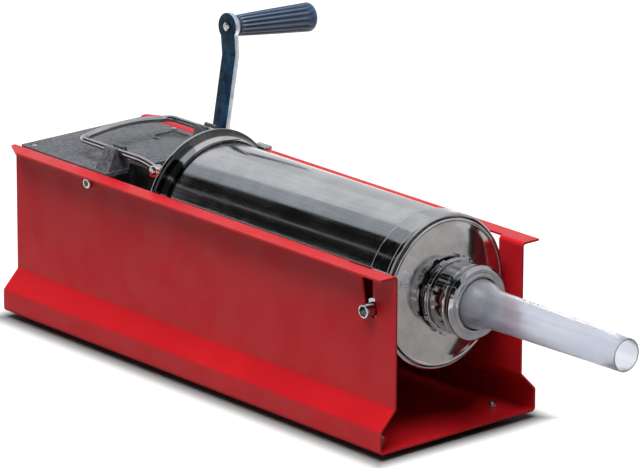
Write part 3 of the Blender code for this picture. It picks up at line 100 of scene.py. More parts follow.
PIN_RADIUS = 0.0065
PIN_REACH = 0.0100
PIN_DROP = 0.0030
PIN_X = -0.0330
SLOT_CLEARANCE = 0.0014
SLOT_LEAN = 0.0060
SLOT_MOUTH = 0.0200
RACK_HEIGHT = 0.0180
RACK_STUD_RADIUS = 0.0070
SHAFT_RADIUS = 0.0065
GEAR_MODULE = 0.0020
CRANK_PINION_TEETH = 12
DRIVE_GEAR_TEETH = 40
RACK_MODULE = 0.0025
RACK_PINION_TEETH = 12
SHAFT_OVER_RACK = 0.0022
PISTON_LENGTH = 0.0280
PISTON_GAP = 0.0006
PISTON_FRONT_GAP = 0.0010
SEAL_WIDTH = 0.0080
SEAL_DEPTH = 0.0040
HOUSING_WALL = 0.0060
HOUSING_LENGTH = 0.1320
HOUSING_REAR_INSET = 0.0040
HOUSING_NOTCH_DEPTH = 0.0240
HOUSING_NOTCH_INNER = 0.0260
HOUSING_NOTCH_OUTER = 0.0465
HOUSING_TONGUE = 0.0020
LID_SCREW_INSET = 0.0035
GEAR_ROOM = 0.0028
LID_ROOM = 0.0005
LID_THICKNESS = 0.0038
BUSH_WALL = 0.0035
BUSH_REACH = 0.0060
BAIL_ROD_RADIUS = 0.0032
BAIL_INSET = 0.0138
BAIL_OVERHANG = 0.0432
BAIL_ABOVE_LID = 0.0172
BAIL_ARCH = 0.0042
BAIL_CORNER = 0.0100
BAIL_DROP_LENGTH = 0.0215
BAIL_EYE_RADIUS = 0.0050
BAIL_EYE_WIDTH = 0.0060
BAIL_PIVOT_BEHIND = 0.0072
BAIL_PIVOT_OUT = 0.0044
BAIL_PIN_RADIUS = 0.0020
LUG_THICKNESS = 0.0030
LUG_ROOT = 0.0030
SADDLE_LENGTH = 0.0200
SADDLE_SLOPE = 0.0050
SADDLE_HEIGHT = 0.0224
SADDLE_CHEEK = 0.0040
SADDLE_INNER_FLARE = 0.0030
SADDLE_OUTER_FLARE = 0.0090
SADDLE_INSET = 0.0005
CRANK_HUB_RADIUS = 0.0130
CRANK_HUB_LENGTH = 0.0195
ARM_THICKNESS = 0.0055
ARM_HALF_WIDTH = 0.0105
ARM_BOSS_RADIUS = 0.0135
ARM_FOOT_LENGTH = 0.0139
ARM_SLANT_LENGTH = 0.0781
ARM_TOP_LENGTH = 0.0271
ARM_SLANT = math.radians(18.6)
ARM_LEAN = math.radians(4.4)
CRANK_REST = math.radians(-10.6)
CRANK_SCREW_RADIUS = 0.0030
GRIP_LENGTH = 0.1008
GRIP_ROOT_RADIUS = 0.0102
GRIP_END_RADIUS = 0.0146
GRIP_DOME = 0.0040
GRIP_FLUTES = 16
GRIP_FLUTE_DEPTH = 0.0009
GRIP_BOLT_RADIUS = 0.0040
THREAD_GAP = 0.0004
GASKET_THICKNESS = 0.0020
NOZZLE_FLANGE = 0.0034
NOZZLE_WALL = 0.0018
NOZZLE_REACH = 0.2144
NOZZLE_ROOT_RADIUS = 0.0238
NOZZLE_TUBE_RADIUS = 0.0178
NOZZLE_TIP_RADIUS = 0.0155
NOZZLE_BELL = 0.0340
NUT_MOUTH_RADIUS = 0.0247
NUT_LIP = 0.0080
NUT_REAR_GAP = 0.0030
NUT_WALL = 0.0030
NUT_RIM = 0.0040
NUT_LUG = 0.0032
NUT_LUGS = 8

# Mates, worked out as in the model
WALL_INNER = TUBE_RADIUS + SIDE_GAP
WALL_OUTER = WALL_INNER + SHEET
PAN_TOP = FOOT_HEIGHT + SHEET
AXIS_Z = PAN_TOP + UNDER_GAP + TUBE_RADIUS
AXIS = (0.0, AXIS_Z)
TUBE_BORE = TUBE_RADIUS - TUBE_WALL
TUBE_REAR_X = TUBE_FRONT_X - TUBE_LENGTH
RING_REAR_X = TUBE_REAR_X - RING_OVERHANG
RACK_PINION_RADIUS = RACK_MODULE * RACK_PINION_TEETH / 2
CRANK_PINION_RADIUS = GEAR_MODULE * CRANK_PINION_TEETH / 2
DRIVE_GEAR_RADIUS = GEAR_MODULE * DRIVE_GEAR_TEETH / 2
LAY_Z = AXIS_Z - RACK_HEIGHT / 2 + RACK_MODULE - RACK_PINION_RADIUS
CRANK_Z = AXIS_Z + RACK_HEIGHT / 2 + SHAFT_OVER_RACK + SHAFT_RADIUS
HOUSING_FRONT = RING_REAR_X - LOADING_GAP
HOUSING_REAR = HOUSING_FRONT - HOUSING_LENGTH
TROUGH_LENGTH = HOUSING_REAR_INSET - HOUSING_REAR
HOUSING_HALF = WALL_INNER - SLIDING
LAY_X = HOUSING_REAR + HOUSING_WALL + GEAR_ROOM + DRIVE_GEAR_RADIUS + GEAR_MODULE
CRANK_X = LAY_X + math.sqrt((CRANK_PINION_RADIUS + DRIVE_GEAR_RADIUS) ** 2 - (CRANK_Z - LAY_Z) ** 2)
LID_UNDER = CRANK_Z + CRANK_PINION_RADIUS + GEAR_MODULE + LID_ROOM
LID_TOP = LID_UNDER + LID_THICKNESS
FLANGE_TOP = LID_TOP
CAVITY_HALF = HOUSING_HALF - HOUSING_WALL
CAVITY_REAR = HOUSING_REAR + HOUSING_WALL
CAVITY_FRONT = HOUSING_FRONT - HOUSING_NOTCH_DEPTH - HOUSING_WALL
PISTON_FRONT_X = TUBE_FRONT_X - CAP_SKIRT - PISTON_FRONT_GAP
PISTON_REAR_X = PISTON_FRONT_X - PISTON_LENGTH
CAP_EDGE_X = TUBE_FRONT_X + SEAT
CAP_FACE_X = CAP_EDGE_X + CAP_EDGE
NECK_END_X = CAP_FACE_X + CAP_BULGE + NECK_LENGTH
NUT_SEAT_X = NECK_END_X + GASKET_THICKNESS + NOZZLE_FLANGE + 3 * SEAT
NUT_FRONT_X = NUT_SEAT_X + NUT_LIP
NUT_REAR_X = CAP_FACE_X + CAP_BULGE + NUT_REAR_GAP
NUT_BORE = NECK_RADIUS + THREAD_GAP
PIN_Z = AXIS_Z - PIN_DROP
BAIL_PIVOT_X = RING_REAR_X - BAIL_PIVOT_BEHIND
BAIL_HALF_WIDTH = TUBE_RADIUS - BAIL_INSET
BAIL_PIVOT_Z = AXIS_Z + math.sqrt((TUBE_RADIUS + BAIL_PIVOT_OUT) ** 2 - BAIL_HALF_WIDTH ** 2)
BAIL_Z = LID_TOP + BAIL_ABOVE_LID
SADDLE_FRONT = HOUSING_FRONT - HOUSING_TONGUE - SADDLE_INSET
BAIL_REAR_X = SADDLE_FRONT - SADDLE_LENGTH - BAIL_OVERHANG
CRANK_FACE_Y = WALL_OUTER + BUSH_REACH + SEAT + CRANK_HUB_LENGTH
ARM_LENGTH = ARM_FOOT_LENGTH + ARM_SLANT_LENGTH + ARM_TOP_LENGTH

# Details that only this script adds, metres
HOLE_ROOM = 0.0004
HAIR = 0.0001
SCREW_HEAD = 1.9
LID_CORNER = 0.0025
LID_POCKET = 0.0020
LID_RECESS = (HOUSING_REAR + 0.0580, 0.0420)
LID_RECESS_SIDE = 0.0260
LID_RECESS_DEPTH = 0.0015
LID_SLOT = (HOUSING_REAR + 0.0694, 0.0362)
LID_SLOT_HALF = 0.0032
LID_SLOT_RADIUS = 0.0018
LID_SIDE_SCREW = (HOUSING_REAR + 0.0560, 0.0700)
LID_SCREW_DEPTH = 0.0120
FOOT_NUT_FLATS = 0.0080
FOOT_NUT_HEIGHT = 0.0032
RING_BEAD = 0.0024
TAB_X = (-0.3600, -0.3420)
TAB_Y = (0.0595, 0.0700)
TAB_OVER_AXIS = 0.0485
TAB_THICKNESS = 0.0040
PIN_BOSS = 0.0035
PIN_SOCKET_DEPTH = 0.0080
CAP_ROLL = 0.0018
CAP_LEDGE = 0.0040
CAP_PITCH = 0.0040
CAP_THREAD = 0.0014
NUT_RIB = 0.0008
SIDE_BOLT_LENGTH = 0.0070
BASE_SCREW_HEAD = 0.0040
BASE_SCREW_TAIL = 0.0070
BASE_SCREW_SOCKET = 0.0040
PISTON_DISH = (0.0200, 0.0580)
PISTON_DISH_DEPTH = 0.0030
CRANK_SQUARE = 0.0044
CRANK_SCREW_LENGTH = 0.0100
CRANK_SCREW_FLATS = 0.0098
CRANK_SCREW_HEAD = 0.0045
WASHER = 0.0015
GRIP_COLLAR = 0.0050
GRIP_HOLE = 0.0780
GRIP_BOLT_TAIL = 0.0772

# Sides of turned pieces
WIDE = 160
MIDDLE = 64
NARROW = 32


# Shape helpers

def on_axis(axis, along, first, second):
    """A point 'along' one axis; first and second are the other two axes in X, Y, Z order."""
    if axis == "X":
        return Vector((along, first, second))
    if axis == "Y":
        return Vector((first, along, second))
    return Vector((first, second, along))


def arc(centre, radius, start, end, steps):
    """Points on an arc from one angle to another, in degrees, both ends included."""
    points = []
    for i in range(steps + 1):
        angle = math.radians(start + (end - start) * i / steps)
        points.append((centre[0] + radius * math.cos(angle), centre[1] + radius * math.sin(angle)))
    return points


def circle(centre, radius, sides):
    return arc(centre, radius, 0, 360 - 360 / sides, sides - 1)


def hexagon(centre, flats, turn=0.0):
    reach = flats / math.sqrt(3)
    return arc(centre, reach, turn, turn + 300, 5)


def shares(steps, first=0):
    """Evenly spaced shares of a run, up to one."""
    return [k / steps for k in range(first, steps + 1)]


def rounded(points, radius, steps=3):
    """Round the corners of a closed outline. A point's third number is its own radius."""
    count = len(points)
    result = []
    for i, point in enumerate(points):
        here = Vector(point[:2])
        before = Vector(points[i - 1][:2]) - here
        after = Vector(points[(i + 1) % count][:2]) - here
        want = point[2] if len(point) > 2 else radius
        if want <= 0 or before.length < 1e-7 or after.length < 1e-7:
            result.append(tuple(here))
            continue
        angle = before.angle(after)
        if angle > math.radians(176):
            result.append(tuple(here))
            continue
        setback = min(want / math.tan(angle / 2), 0.46 * before.length, 0.46 * after.length)
        start = here + before.normalized() * setback
        end = here + after.normalized() * setback
        for t in shares(steps):
            result.append(tuple(start * (1 - t) ** 2 + here * 2 * t * (1 - t) + end * t ** 2))
    return result


def plate(outline, axis, low, high, holes=()):
    """Extrude an outline, with any holes, between two levels of an axis."""
    bm = bmesh.new()
    levels = []
    for level in (low, high):
        edges = []
        loops = []
        for loop in (outline, *holes):
            verts = [bm.verts.new(on_axis(axis, level, u, v)) for u, v in loop]
            edges += [bm.edges.new((verts[i - 1], verts[i])) for i in range(len(verts))]
            loops.append(verts)
        bmesh.ops.triangle_fill(bm, use_beauty=True, use_dissolve=True, edges=edges)
        levels.append(loops)
    for low_loop, high_loop in zip(*levels):
        for i in range(len(low_loop)):
            bm.faces.new((low_loop[i - 1], low_loop[i], high_loop[i], high_loop[i - 1]))
    bmesh.ops.recalc_face_normals(bm, faces=bm.faces)
    return bm


def side_plate(side, outline, low, high, holes=()):
    """A plate across Y, on one side of the machine."""
    return plate(outline, "Y", *sorted((side * low, side * high)), holes)


def block(x, y, z):
    outline = [(x[0], y[0]), (x[1], y[0]), (x[1], y[1]), (x[0], y[1])]
    return plate(outline, "Z", z[0], z[1])


def lathe(profile, sides, axis="X", centre=AXIS, shape=None):
    """Turn a closed (along, radius) profile. shape(along, radius, angle) may change the radius."""
    bm = bmesh.new()
    rings = []
    for along, radius in profile:
        if radius == 0:
            rings.append([bm.verts.new(on_axis(axis, along, *centre))])
            continue
        ring = []
        for i in range(sides):
            angle = math.tau * i / sides
            reach = shape(along, radius, angle) if shape else radius
            first = centre[0] + reach * math.cos(angle)
            second = centre[1] + reach * math.sin(angle)
            ring.append(bm.verts.new(on_axis(axis, along, first, second)))
        rings.append(ring)
    for i, ring in enumerate(rings):
        below = rings[i - 1]
        if len(ring) == 1 and len(below) == 1:
            continue
        for k in range(sides):
            corners = [below[(k - 1) % len(below)], below[k % len(below)], ring[k % len(ring)],
                       ring[(k - 1) % len(ring)]]
            bm.faces.new(list(dict.fromkeys(corners)))
    bmesh.ops.recalc_face_normals(bm, faces=bm.faces)
    return bm


def rod(path, radius, sides=NARROW):
    """A round bar along a path; radius may be a list with one value for each point."""
    bm = bmesh.new()
    points = [Vector(point) for point in path]
    radii = radius if isinstance(radius, list) else [radius] * len(points)
    rings = []
    normal = None
    for i, point in enumerate(points):
        tangent = (points[min(i + 1, len(points) - 1)] - points[max(i - 1, 0)]).normalized()
        if normal is None:
            normal = tangent.orthogonal()
        normal = (normal - tangent * normal.dot(tangent)).normalized()
        across = tangent.cross(normal)
        ring = []
        for k in range(sides):
            angle = math.tau * k / sides
            offset = normal * math.cos(angle) + across * math.sin(angle)
            ring.append(bm.verts.new(point + offset * radii[i]))
        rings.append(ring)
    for low, high in zip(rings, rings[1:]):
        for k in range(sides):
            bm.faces.new((low[k - 1], low[k], high[k], high[k - 1]))
    bm.faces.new(rings[0])
    bm.faces.new(rings[-1])
    bmesh.ops.recalc_face_normals(bm, faces=bm.faces)
    return bm


def smooth_path(points, steps=6):
    """A Catmull-Rom curve through the points."""
    points = [Vector(point) for point in points]
    path = []
    for i in range(len(points) - 1):
        p0 = points[max(i - 1, 0)]
        p1 = points[i]
        p2 = points[i + 1]
        p3 = points[min(i + 2, len(points) - 1)]
        for k in range(steps):
            t = k / steps
            path.append(0.5 * (2 * p1 + (p2 - p0) * t + (2 * p0 - 5 * p1 + 4 * p2 - p3) * t ** 2
                               + (3 * p1 - p0 - 3 * p2 + p3) * t ** 3))
    return path + [points[-1]]


def joined(*parts):
    """Several shapes as one, without merging them."""
    bm = bmesh.new()
    for part in parts:
        mesh = bpy.data.meshes.new("join")
        part.to_mesh(mesh)
        part.free()
        bm.from_mesh(mesh)
        bpy.data.meshes.remove(mesh)
    return bm


def placed(name, data):
    """A new object in the scene, around a mesh, lamp or camera."""
    piece = bpy.data.objects.new(name, data)
    bpy.context.scene.collection.objects.link(piece)
    return piece


def from_bmesh(name, bm):
    mesh = bpy.data.meshes.new(name)
    bm.to_mesh(mesh)
    bm.free()
    return placed(name, mesh)


def flat_face(name, corners):
    bm = bmesh.new()
    bm.faces.new([bm.verts.new(corner) for corner in corners])
    return from_bmesh(name, bm)


def carved(bm, *steps):
    """Boolean steps, each an (operation, tool) pair, worked into the shape at once."""
    for operation, tool_bm in steps:
        piece = from_bmesh("blank", bm)
        tool = from_bmesh("tool", tool_bm)
        modifier = piece.modifiers.new("Boolean", "BOOLEAN")
        modifier.operation = operation
        modifier.object = tool
        modifier.solver = "EXACT"
        bpy.context.view_layer.update()
        evaluated = piece.evaluated_get(bpy.context.evaluated_depsgraph_get())
        bm = bmesh.new()
        bm.from_mesh(evaluated.to_mesh())
        evaluated.to_mesh_clear()
        for item in (piece, tool):
            mesh = item.data
            bpy.data.objects.remove(item)
            bpy.data.meshes.remove(mesh)
    bmesh.ops.remove_doubles(bm, verts=bm.verts, dist=1e-6)
    bmesh.ops.dissolve_degenerate(bm, dist=1e-6, edges=bm.edges)
    return bm


def add_bevel(piece, width, segments=2, angle=32):
    """Break the sharp edges, with normals that keep the flats flat."""
    bevel = piece.modifiers.new("Bevel", "BEVEL")
    bevel.width = width
    bevel.segments = segments
    bevel.limit_method = "ANGLE"
    bevel.angle_limit = math.radians(angle)
    bevel.miter_outer = "MITER_ARC"
    bevel.use_clamp_overlap = True
    weighted = piece.modifiers.new("Weighted Normal", "WEIGHTED_NORMAL")
    weighted.keep_sharp = True


def new_piece(name, bm, material, body, bevel=None, sharp=32, segments=2):
    """A visible piece modelled in the machine's axes, which rides on a body of the model."""
    piece = from_bmesh(name, bm)
    piece.data.materials.append(material)
    piece.data.shade_smooth()
    piece.data.set_sharp_from_angle(angle=math.radians(sharp))
    piece.location = ORIGIN
    if bevel:
        add_bevel(piece, bevel, segments)
    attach(piece, body)
    return piece


def dress(node, bm, material, bevel=None, sharp=32, segments=2):
    """A finer piece that stands for one node of the model."""
    piece = new_piece(f"{node}_look", bm, material, BODY_OF[node], bevel, sharp, segments)
    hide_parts(node)
    return piece


def dress_each(name, bm, material, spots):
    """The same finer piece for several nodes: spots are (suffix, location, turn about Z)."""
    first = None
    for suffix, location, turn in spots:
        node = f"{name}_{suffix}"
        if first is None:
            first = dress(node, bm, material)
            piece = first
        else:
            piece = placed(f"{node}_look", first.data)
        piece.matrix_world = Matrix.Translation(ORIGIN + Vector(location)) @ Matrix.Rotation(turn, 4, "Z")
        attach(piece, BODY_OF[node])
        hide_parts(node)


def corner_spots(front_x, rear_x, half):
    spots = []
    for row, x in (("front", front_x), ("rear", rear_x)):
        for side, y in (("right", -half), ("left", half)):
            spots.append((f"{row}_{side}", (x, y, 0.0), 0.0))
    return spots


def side_spots(x, z):
    return [("right", (x, 0.0, z), math.pi), ("left", (x, 0.0, z), 0.0)]


# Materials

def math_node(tree, operation, first, second):
    """A sum or comparison of two numbers or node outputs."""
    node = tree.nodes.new("ShaderNodeMath")
    node.operation = operation
    for socket, value in zip(node.inputs, (first, second)):
        if isinstance(value, (int, float)):
            socket.default_value = value
        else:
            tree.links.new(value, socket)
    return node.outputs[0]


class Surface:
    """A Principled material with short calls for the nodes that feed it."""

    def __init__(self, name, colour, roughness, metallic=0.0, **sockets):
        self.material = bpy.data.materials.new(name)
        self.material.use_nodes = True
        self.tree = self.material.node_tree
        self.shader = self.tree.nodes["Principled BSDF"]
        self.shader.inputs["Base Color"].default_value = (*colour, 1.0)
        self.shader.inputs["Roughness"].default_value = roughness
        self.shader.inputs["Metallic"].default_value = metallic
        for socket, value in sockets.items():
            self.shader.inputs[socket.replace("_", " ")].default_value = value
        self.coords = self.add("TexCoord").outputs["Object"]
        self.normal = None

    def add(self, kind, **sockets):
        """A shader node with some of its inputs set."""
        node = self.tree.nodes.new("ShaderNode" + kind)
        for socket, value in sockets.items():
            node.inputs[socket.replace("_", " ")].default_value = value
        return node

    def link(self, source, target):
        self.tree.links.new(source, target)

    def stretched(self, scale):
        node = self.add("Mapping", Scale=scale)
        self.link(self.coords, node.inputs["Vector"])
        return node.outputs["Vector"]

    def noise(self, scale, detail=3.0, rough=0.5, stretch=(1, 1, 1)):
        node = self.add("TexNoise", Scale=scale, Detail=detail, Roughness=rough)
        self.link(self.stretched(stretch), node.inputs["Vector"])
        return node.outputs["Fac"]

    def cells(self, scale, feature="F1", stretch=(1, 1, 1)):
        node = self.add("TexVoronoi", Scale=scale)
        node.feature = feature
        self.link(self.stretched(stretch), node.inputs["Vector"])
        return node.outputs["Distance"]

    def pointiness(self):
        return self.add("NewGeometry").outputs["Pointiness"]

    def along_x(self):
        node = self.add("SeparateXYZ")
        self.link(self.coords, node.inputs[0])
        return node.outputs["X"]

    def edges(self, reach, low=0.02, high=0.16):
        """One near the edges of a shape, where a rounded normal leaves the true one."""
        bevel = self.add("Bevel", Radius=reach)
        bevel.samples = 6
        dot = self.add("VectorMath")
        dot.operation = "DOT_PRODUCT"
        self.link(bevel.outputs["Normal"], dot.inputs[0])
        self.link(self.add("NewGeometry").outputs["Normal"], dot.inputs[1])
        return self.mapped(self.maths("SUBTRACT", 1.0, dot.outputs["Value"]), low, high)

    def mapped(self, value, low, high, to_low=0.0, to_high=1.0):
        node = self.add("MapRange", From_Min=low, From_Max=high, To_Min=to_low, To_Max=to_high)
        node.interpolation_type = "SMOOTHSTEP"
        self.link(value, node.inputs["Value"])
        return node.outputs["Result"]

    def maths(self, operation, first, second):
        return math_node(self.tree, operation, first, second)

    def mixed(self, factor, first, second, share=1.0):
        """From one tone to another by a factor, of which share is the most that counts."""
        if share < 1.0:
            factor = self.maths("MULTIPLY", factor, share)
        node = self.add("Mix")
        node.data_type = "RGBA"
        for socket, value in (("Factor_Float", factor), ("A_Color", first), ("B_Color", second)):
            target = next(item for item in node.inputs if item.identifier == socket)
            if isinstance(value, tuple):
                target.default_value = (*value, 1.0)
            else:
                self.link(value, target)
        return next(item for item in node.outputs if item.identifier == "Result_Color")

    def patches(self, noise, low, high, to_low=0.0, to_high=1.0):
        return self.mapped(self.noise(*noise), low, high, to_low, to_high)

    def tones(self, *mix):
        self.link(self.mixed(*mix), self.shader.inputs["Base Color"])

    def gloss(self, *patches):
        """Roughness that drifts with a noise."""
        self.roughness(self.patches(*patches))

    def roughness(self, value):
        self.link(value, self.shader.inputs["Roughness"])

    def bump(self, height, strength, distance):
        """Bumps stack: each call adds to the one before."""
        node = self.add("Bump", Strength=strength, Distance=distance)
        self.link(height, node.inputs["Height"])
        if self.normal:
            self.link(self.normal, node.inputs["Normal"])
        self.normal = node.outputs["Normal"]
        self.link(self.normal, self.shader.inputs["Normal"])


def red_enamel():
    """Sprayed enamel: faint orange peel, slow drift of tone, paler where an edge is rubbed."""
    paint = Surface("red_enamel", (0.55, 0.012, 0.017), 0.36, Specular_IOR_Level=0.16)
    drift = paint.patches((9.0, 4.0, 0.6), 0.35, 0.68)
    body = paint.mixed(drift, (0.53, 0.010, 0.016), (0.59, 0.013, 0.019))
    speck = paint.patches((420.0, 2.0), 0.62, 0.75)
    body = paint.mixed(speck, body, (0.70, 0.06, 0.05), 0.06)
    edge = paint.edges(0.0009)
    rub = paint.maths("MULTIPLY", edge, paint.patches((60.0, 4.0, 0.6), 0.35, 0.65))
    paint.tones(rub, body, (0.80, 0.12, 0.09), 0.45)
    paint.gloss((30.0, 3.0), 0.3, 0.7, 0.30, 0.44)
    paint.bump(paint.noise(900.0, 2.0, 0.5), 0.10, 0.0003)
    paint.bump(paint.noise(70.0, 2.0, 0.5), 0.05, 0.0006)
    return paint.material


def hammered_grey():
    """Hammer-finish paint on a casting: small shallow dimples with darker hollows."""
    paint = Surface("hammered_grey", (0.15, 0.155, 0.17), 0.38, Specular_IOR_Level=0.08)
    dimple = paint.cells(420.0, "SMOOTH_F1", (1.0, 1.0, 0.8))
    hollow = paint.mapped(dimple, 0.15, 0.65)
    tone = paint.mixed(hollow, (0.056, 0.058, 0.067), (0.126, 0.130, 0.144))
    drift = paint.patches((16.0, 4.0, 0.6), 0.36, 0.66)
    tone = paint.mixed(drift, tone, (0.18, 0.184, 0.198), 0.35)
    edge = paint.edges(0.0014)
    paint.tones(edge, tone, (0.32, 0.33, 0.35), 0.5)
    paint.gloss((120.0, 3.0), 0.3, 0.7, 0.27, 0.45)
    paint.bump(dimple, 0.35, 0.0006)
    paint.bump(paint.noise(60.0, 3.0), 0.2, 0.0008)
    return paint.material


def casting_black_and_painted_shade():
    """Black paint on and in the casting, with a little dust; its near-black tone is partly the casting's
    paint and partly painted shade for the shadowed notch in front of it.
    """
    # Partly painted shade: the casting is made near black so its lit faces read as shadowed.
    paint = Surface("casting_black_and_painted_shade", (0.016, 0.016, 0.018), 0.42, Specular_IOR_Level=0.3)
    dust = paint.patches((90.0, 5.0, 0.6), 0.42, 0.75)
    paint.tones(dust, (0.010, 0.010, 0.011), (0.045, 0.045, 0.048))
    paint.gloss((160.0, 3.0), 0.3, 0.7, 0.30, 0.52)
    paint.bump(paint.cells(420.0, "SMOOTH_F1"), 0.25, 0.0005)
    return paint.material


def polished_steel():
    """Rolled stainless: fine lines along the sheet, cloudy polish, faint dents."""
    steel = Surface("polished_steel", (0.53, 0.535, 0.55), 0.12, 1.0)
    cloud = steel.patches((22.0, 5.0, 0.62), 0.34, 0.68)
    lines = steel.noise(1.0, 2.0, 0.5, (14.0, 420.0, 420.0))
    tone = steel.mixed(cloud, (0.41, 0.415, 0.43), (0.52, 0.525, 0.54))
    steel.tones(steel.mapped(lines, 0.4, 0.65), tone, (0.72, 0.72, 0.73), 0.16)
    smear = steel.maths("MULTIPLY", steel.patches((30.0, 3.0, 0.55), 0.42, 0.70), 0.06)
    steel.roughness(steel.maths("ADD", steel.mapped(lines, 0.3, 0.7, 0.09, 0.14), smear))
    steel.bump(steel.noise(18.0, 2.0, 0.5), 0.08, 0.0006)
    return steel.material


def spun_steel():
    """Stainless turned on a lathe: fine rings about the cylinder's axis, cloudy polish."""
    steel = Surface("spun_steel", (0.55, 0.545, 0.54), 0.08, 1.0)
    centre = steel.add("Mapping", Location=(0.0, 0.0, -AXIS_Z))
    steel.link(steel.coords, centre.inputs["Vector"])
    flat = steel.add("VectorMath")
    flat.operation = "MULTIPLY"
    flat.inputs[1].default_value = (0.0, 1.0, 1.0)
    steel.link(centre.outputs["Vector"], flat.inputs[0])
    reach = steel.add("VectorMath")
    reach.operation = "LENGTH"
    steel.link(flat.outputs["Vector"], reach.inputs[0])
    rings = steel.add("TexNoise", Scale=2600.0, Detail=3.0)
    rings.noise_dimensions = "1D"
    steel.link(reach.outputs["Value"], rings.inputs["W"])
    cloud = steel.patches((34.0, 5.0, 0.65), 0.32, 0.70)
    tone = steel.mixed(cloud, (0.46, 0.45, 0.445), (0.61, 0.605, 0.60))
    steel.tones(rings.outputs["Fac"], tone, (0.74, 0.73, 0.73), 0.12)
    smear = steel.maths("MULTIPLY", steel.patches((70.0, 5.0, 0.65), 0.45, 0.75), 0.08)
    steel.roughness(steel.maths("ADD", steel.mapped(rings.outputs["Fac"], 0.3, 0.7, 0.10, 0.14), smear))
    steel.bump(steel.noise(24.0, 2.0, 0.5), 0.06, 0.0006)
    return steel.material


def bright_plate():
    """Chrome plate with a few soft smears."""
    plated = Surface("bright_plate", (0.72, 0.725, 0.74), 0.06, 1.0)
    smear = plated.patches((60.0, 4.0, 0.6), 0.42, 0.74)
    plated.tones(smear, (0.74, 0.745, 0.76), (0.60, 0.60, 0.61))
    plated.gloss((110.0, 4.0, 0.6), 0.35, 0.75, 0.045, 0.16)
    plated.bump(plated.noise(90.0, 2.0), 0.04, 0.0004)
    return plated.material


def painted_shade_chrome():
    """A greyer, darker copy of the chrome plate over rolled steel, as on the bands and the pins: its lower
    tone is painted shade for the dim surroundings they reflect.
    """
    # Painted shade: base tone well below the bright plate's.
    plated = Surface("painted_shade_chrome", (0.48, 0.48, 0.50), 0.07, 1.0)
    smear = plated.patches((46.0, 4.0, 0.6), 0.40, 0.72)
    plated.tones(smear, (0.39, 0.39, 0.41), (0.47, 0.47, 0.48))
    plated.gloss((110.0, 4.0, 0.6), 0.35, 0.75, 0.05, 0.16)
    plated.bump(plated.noise(70.0, 2.0), 0.06, 0.0004)
    return plated.material


def ring_plate_painted_light():
    """Plate on the rear ring, its dark tone a painted shade for the dark room it reflects, with painted
    highlights as bright bands on its bead and along the sweep to the tube.
    """
    plated = Surface("ring_plate_painted_light", (0.10, 0.097, 0.098), 0.08, 1.0)
    # Painted shade: the plate's tone is kept near black.
    smear = plated.patches((46.0, 4.0, 0.6), 0.40, 0.72)
    tone = plated.mixed(smear, (0.062, 0.059, 0.059), (0.115, 0.110, 0.110))
    # Painted highlight: bright bands set by position along the ring, on the bead and partway down the sweep.
    along = plated.along_x()
    bead = plated.mapped(along, RING_REAR_X + 0.0038, RING_REAR_X + 0.0030)
    rise = plated.mapped(along, RING_REAR_X + 0.46 * RING_LENGTH, RING_REAR_X + 0.56 * RING_LENGTH)
    fall = plated.mapped(along, RING_REAR_X + 0.86 * RING_LENGTH, RING_REAR_X + 0.80 * RING_LENGTH)
    bare = plated.maths("MAXIMUM", bead, plated.maths("MULTIPLY", rise, fall))
    plated.tones(bare, tone, (0.62, 0.62, 0.63), 0.85)
    plated.gloss((110.0, 4.0, 0.6), 0.35, 0.75, 0.06, 0.18)
    plated.bump(plated.noise(70.0, 2.0), 0.06, 0.0004)
    return plated.material


def zinc_plate():
    """Zinc plate: dull, cloudy, slightly warm."""
    zinc = Surface("zinc_plate", (0.50, 0.50, 0.49), 0.3, 1.0)
    cloud = zinc.patches((260.0, 4.0, 0.6), 0.3, 0.7)
    zinc.tones(cloud, (0.42, 0.42, 0.42), (0.60, 0.59, 0.57))
    zinc.gloss((700.0, 2.0), 0.3, 0.7, 0.2, 0.4)
    zinc.bump(zinc.noise(1800.0, 2.0), 0.08, 0.0001)
    return zinc.material


def oiled_steel():
    """Machined gear steel under a film of oil, with milling marks."""
    steel = Surface("oiled_steel", (0.30, 0.30, 0.31), 0.3, 1.0, Coat_Weight=0.5, Coat_Roughness=0.1)
    film = steel.patches((80.0, 4.0, 0.6), 0.35, 0.68)
    steel.tones(film, (0.20, 0.195, 0.19), (0.40, 0.40, 0.41))
    marks = steel.noise(1.0, 2.0, 0.5, (1800.0, 60.0, 1800.0))
    steel.roughness(steel.mapped(marks, 0.3, 0.7, 0.2, 0.42))
    steel.bump(marks, 0.12, 0.0002)
    return steel.material


def sintered_bronze():
    """Porous bronze with dark pores."""
    bronze = Surface("sintered_bronze", (0.46, 0.29, 0.12), 0.4, 1.0)
    pores = bronze.cells(1500.0)
    cloud = bronze.patches((120.0, 4.0, 0.6), 0.3, 0.7)
    tone = bronze.mixed(cloud, (0.36, 0.22, 0.09), (0.55, 0.37, 0.17))
    bronze.tones(bronze.mapped(pores, 0.10, 0.02), tone, (0.12, 0.07, 0.03))
    bronze.gloss((300.0, 3.0), 0.3, 0.7, 0.32, 0.5)
    bronze.bump(bronze.mapped(pores, 0.0, 0.12), 0.3, 0.0002)
    return bronze.material


def black_rubber():
    """Moulded rubber with dust in its grain."""
    rubber = Surface("black_rubber", (0.022, 0.022, 0.023), 0.75)
    dust = rubber.patches((180.0, 5.0, 0.65), 0.45, 0.8)
    rubber.tones(dust, (0.018, 0.018, 0.019), (0.075, 0.073, 0.07))
    rubber.gloss((900.0, 2.0), 0.3, 0.7, 0.6, 0.85)
    rubber.bump(rubber.noise(1500.0, 3.0), 0.25, 0.0002)
    return rubber.material


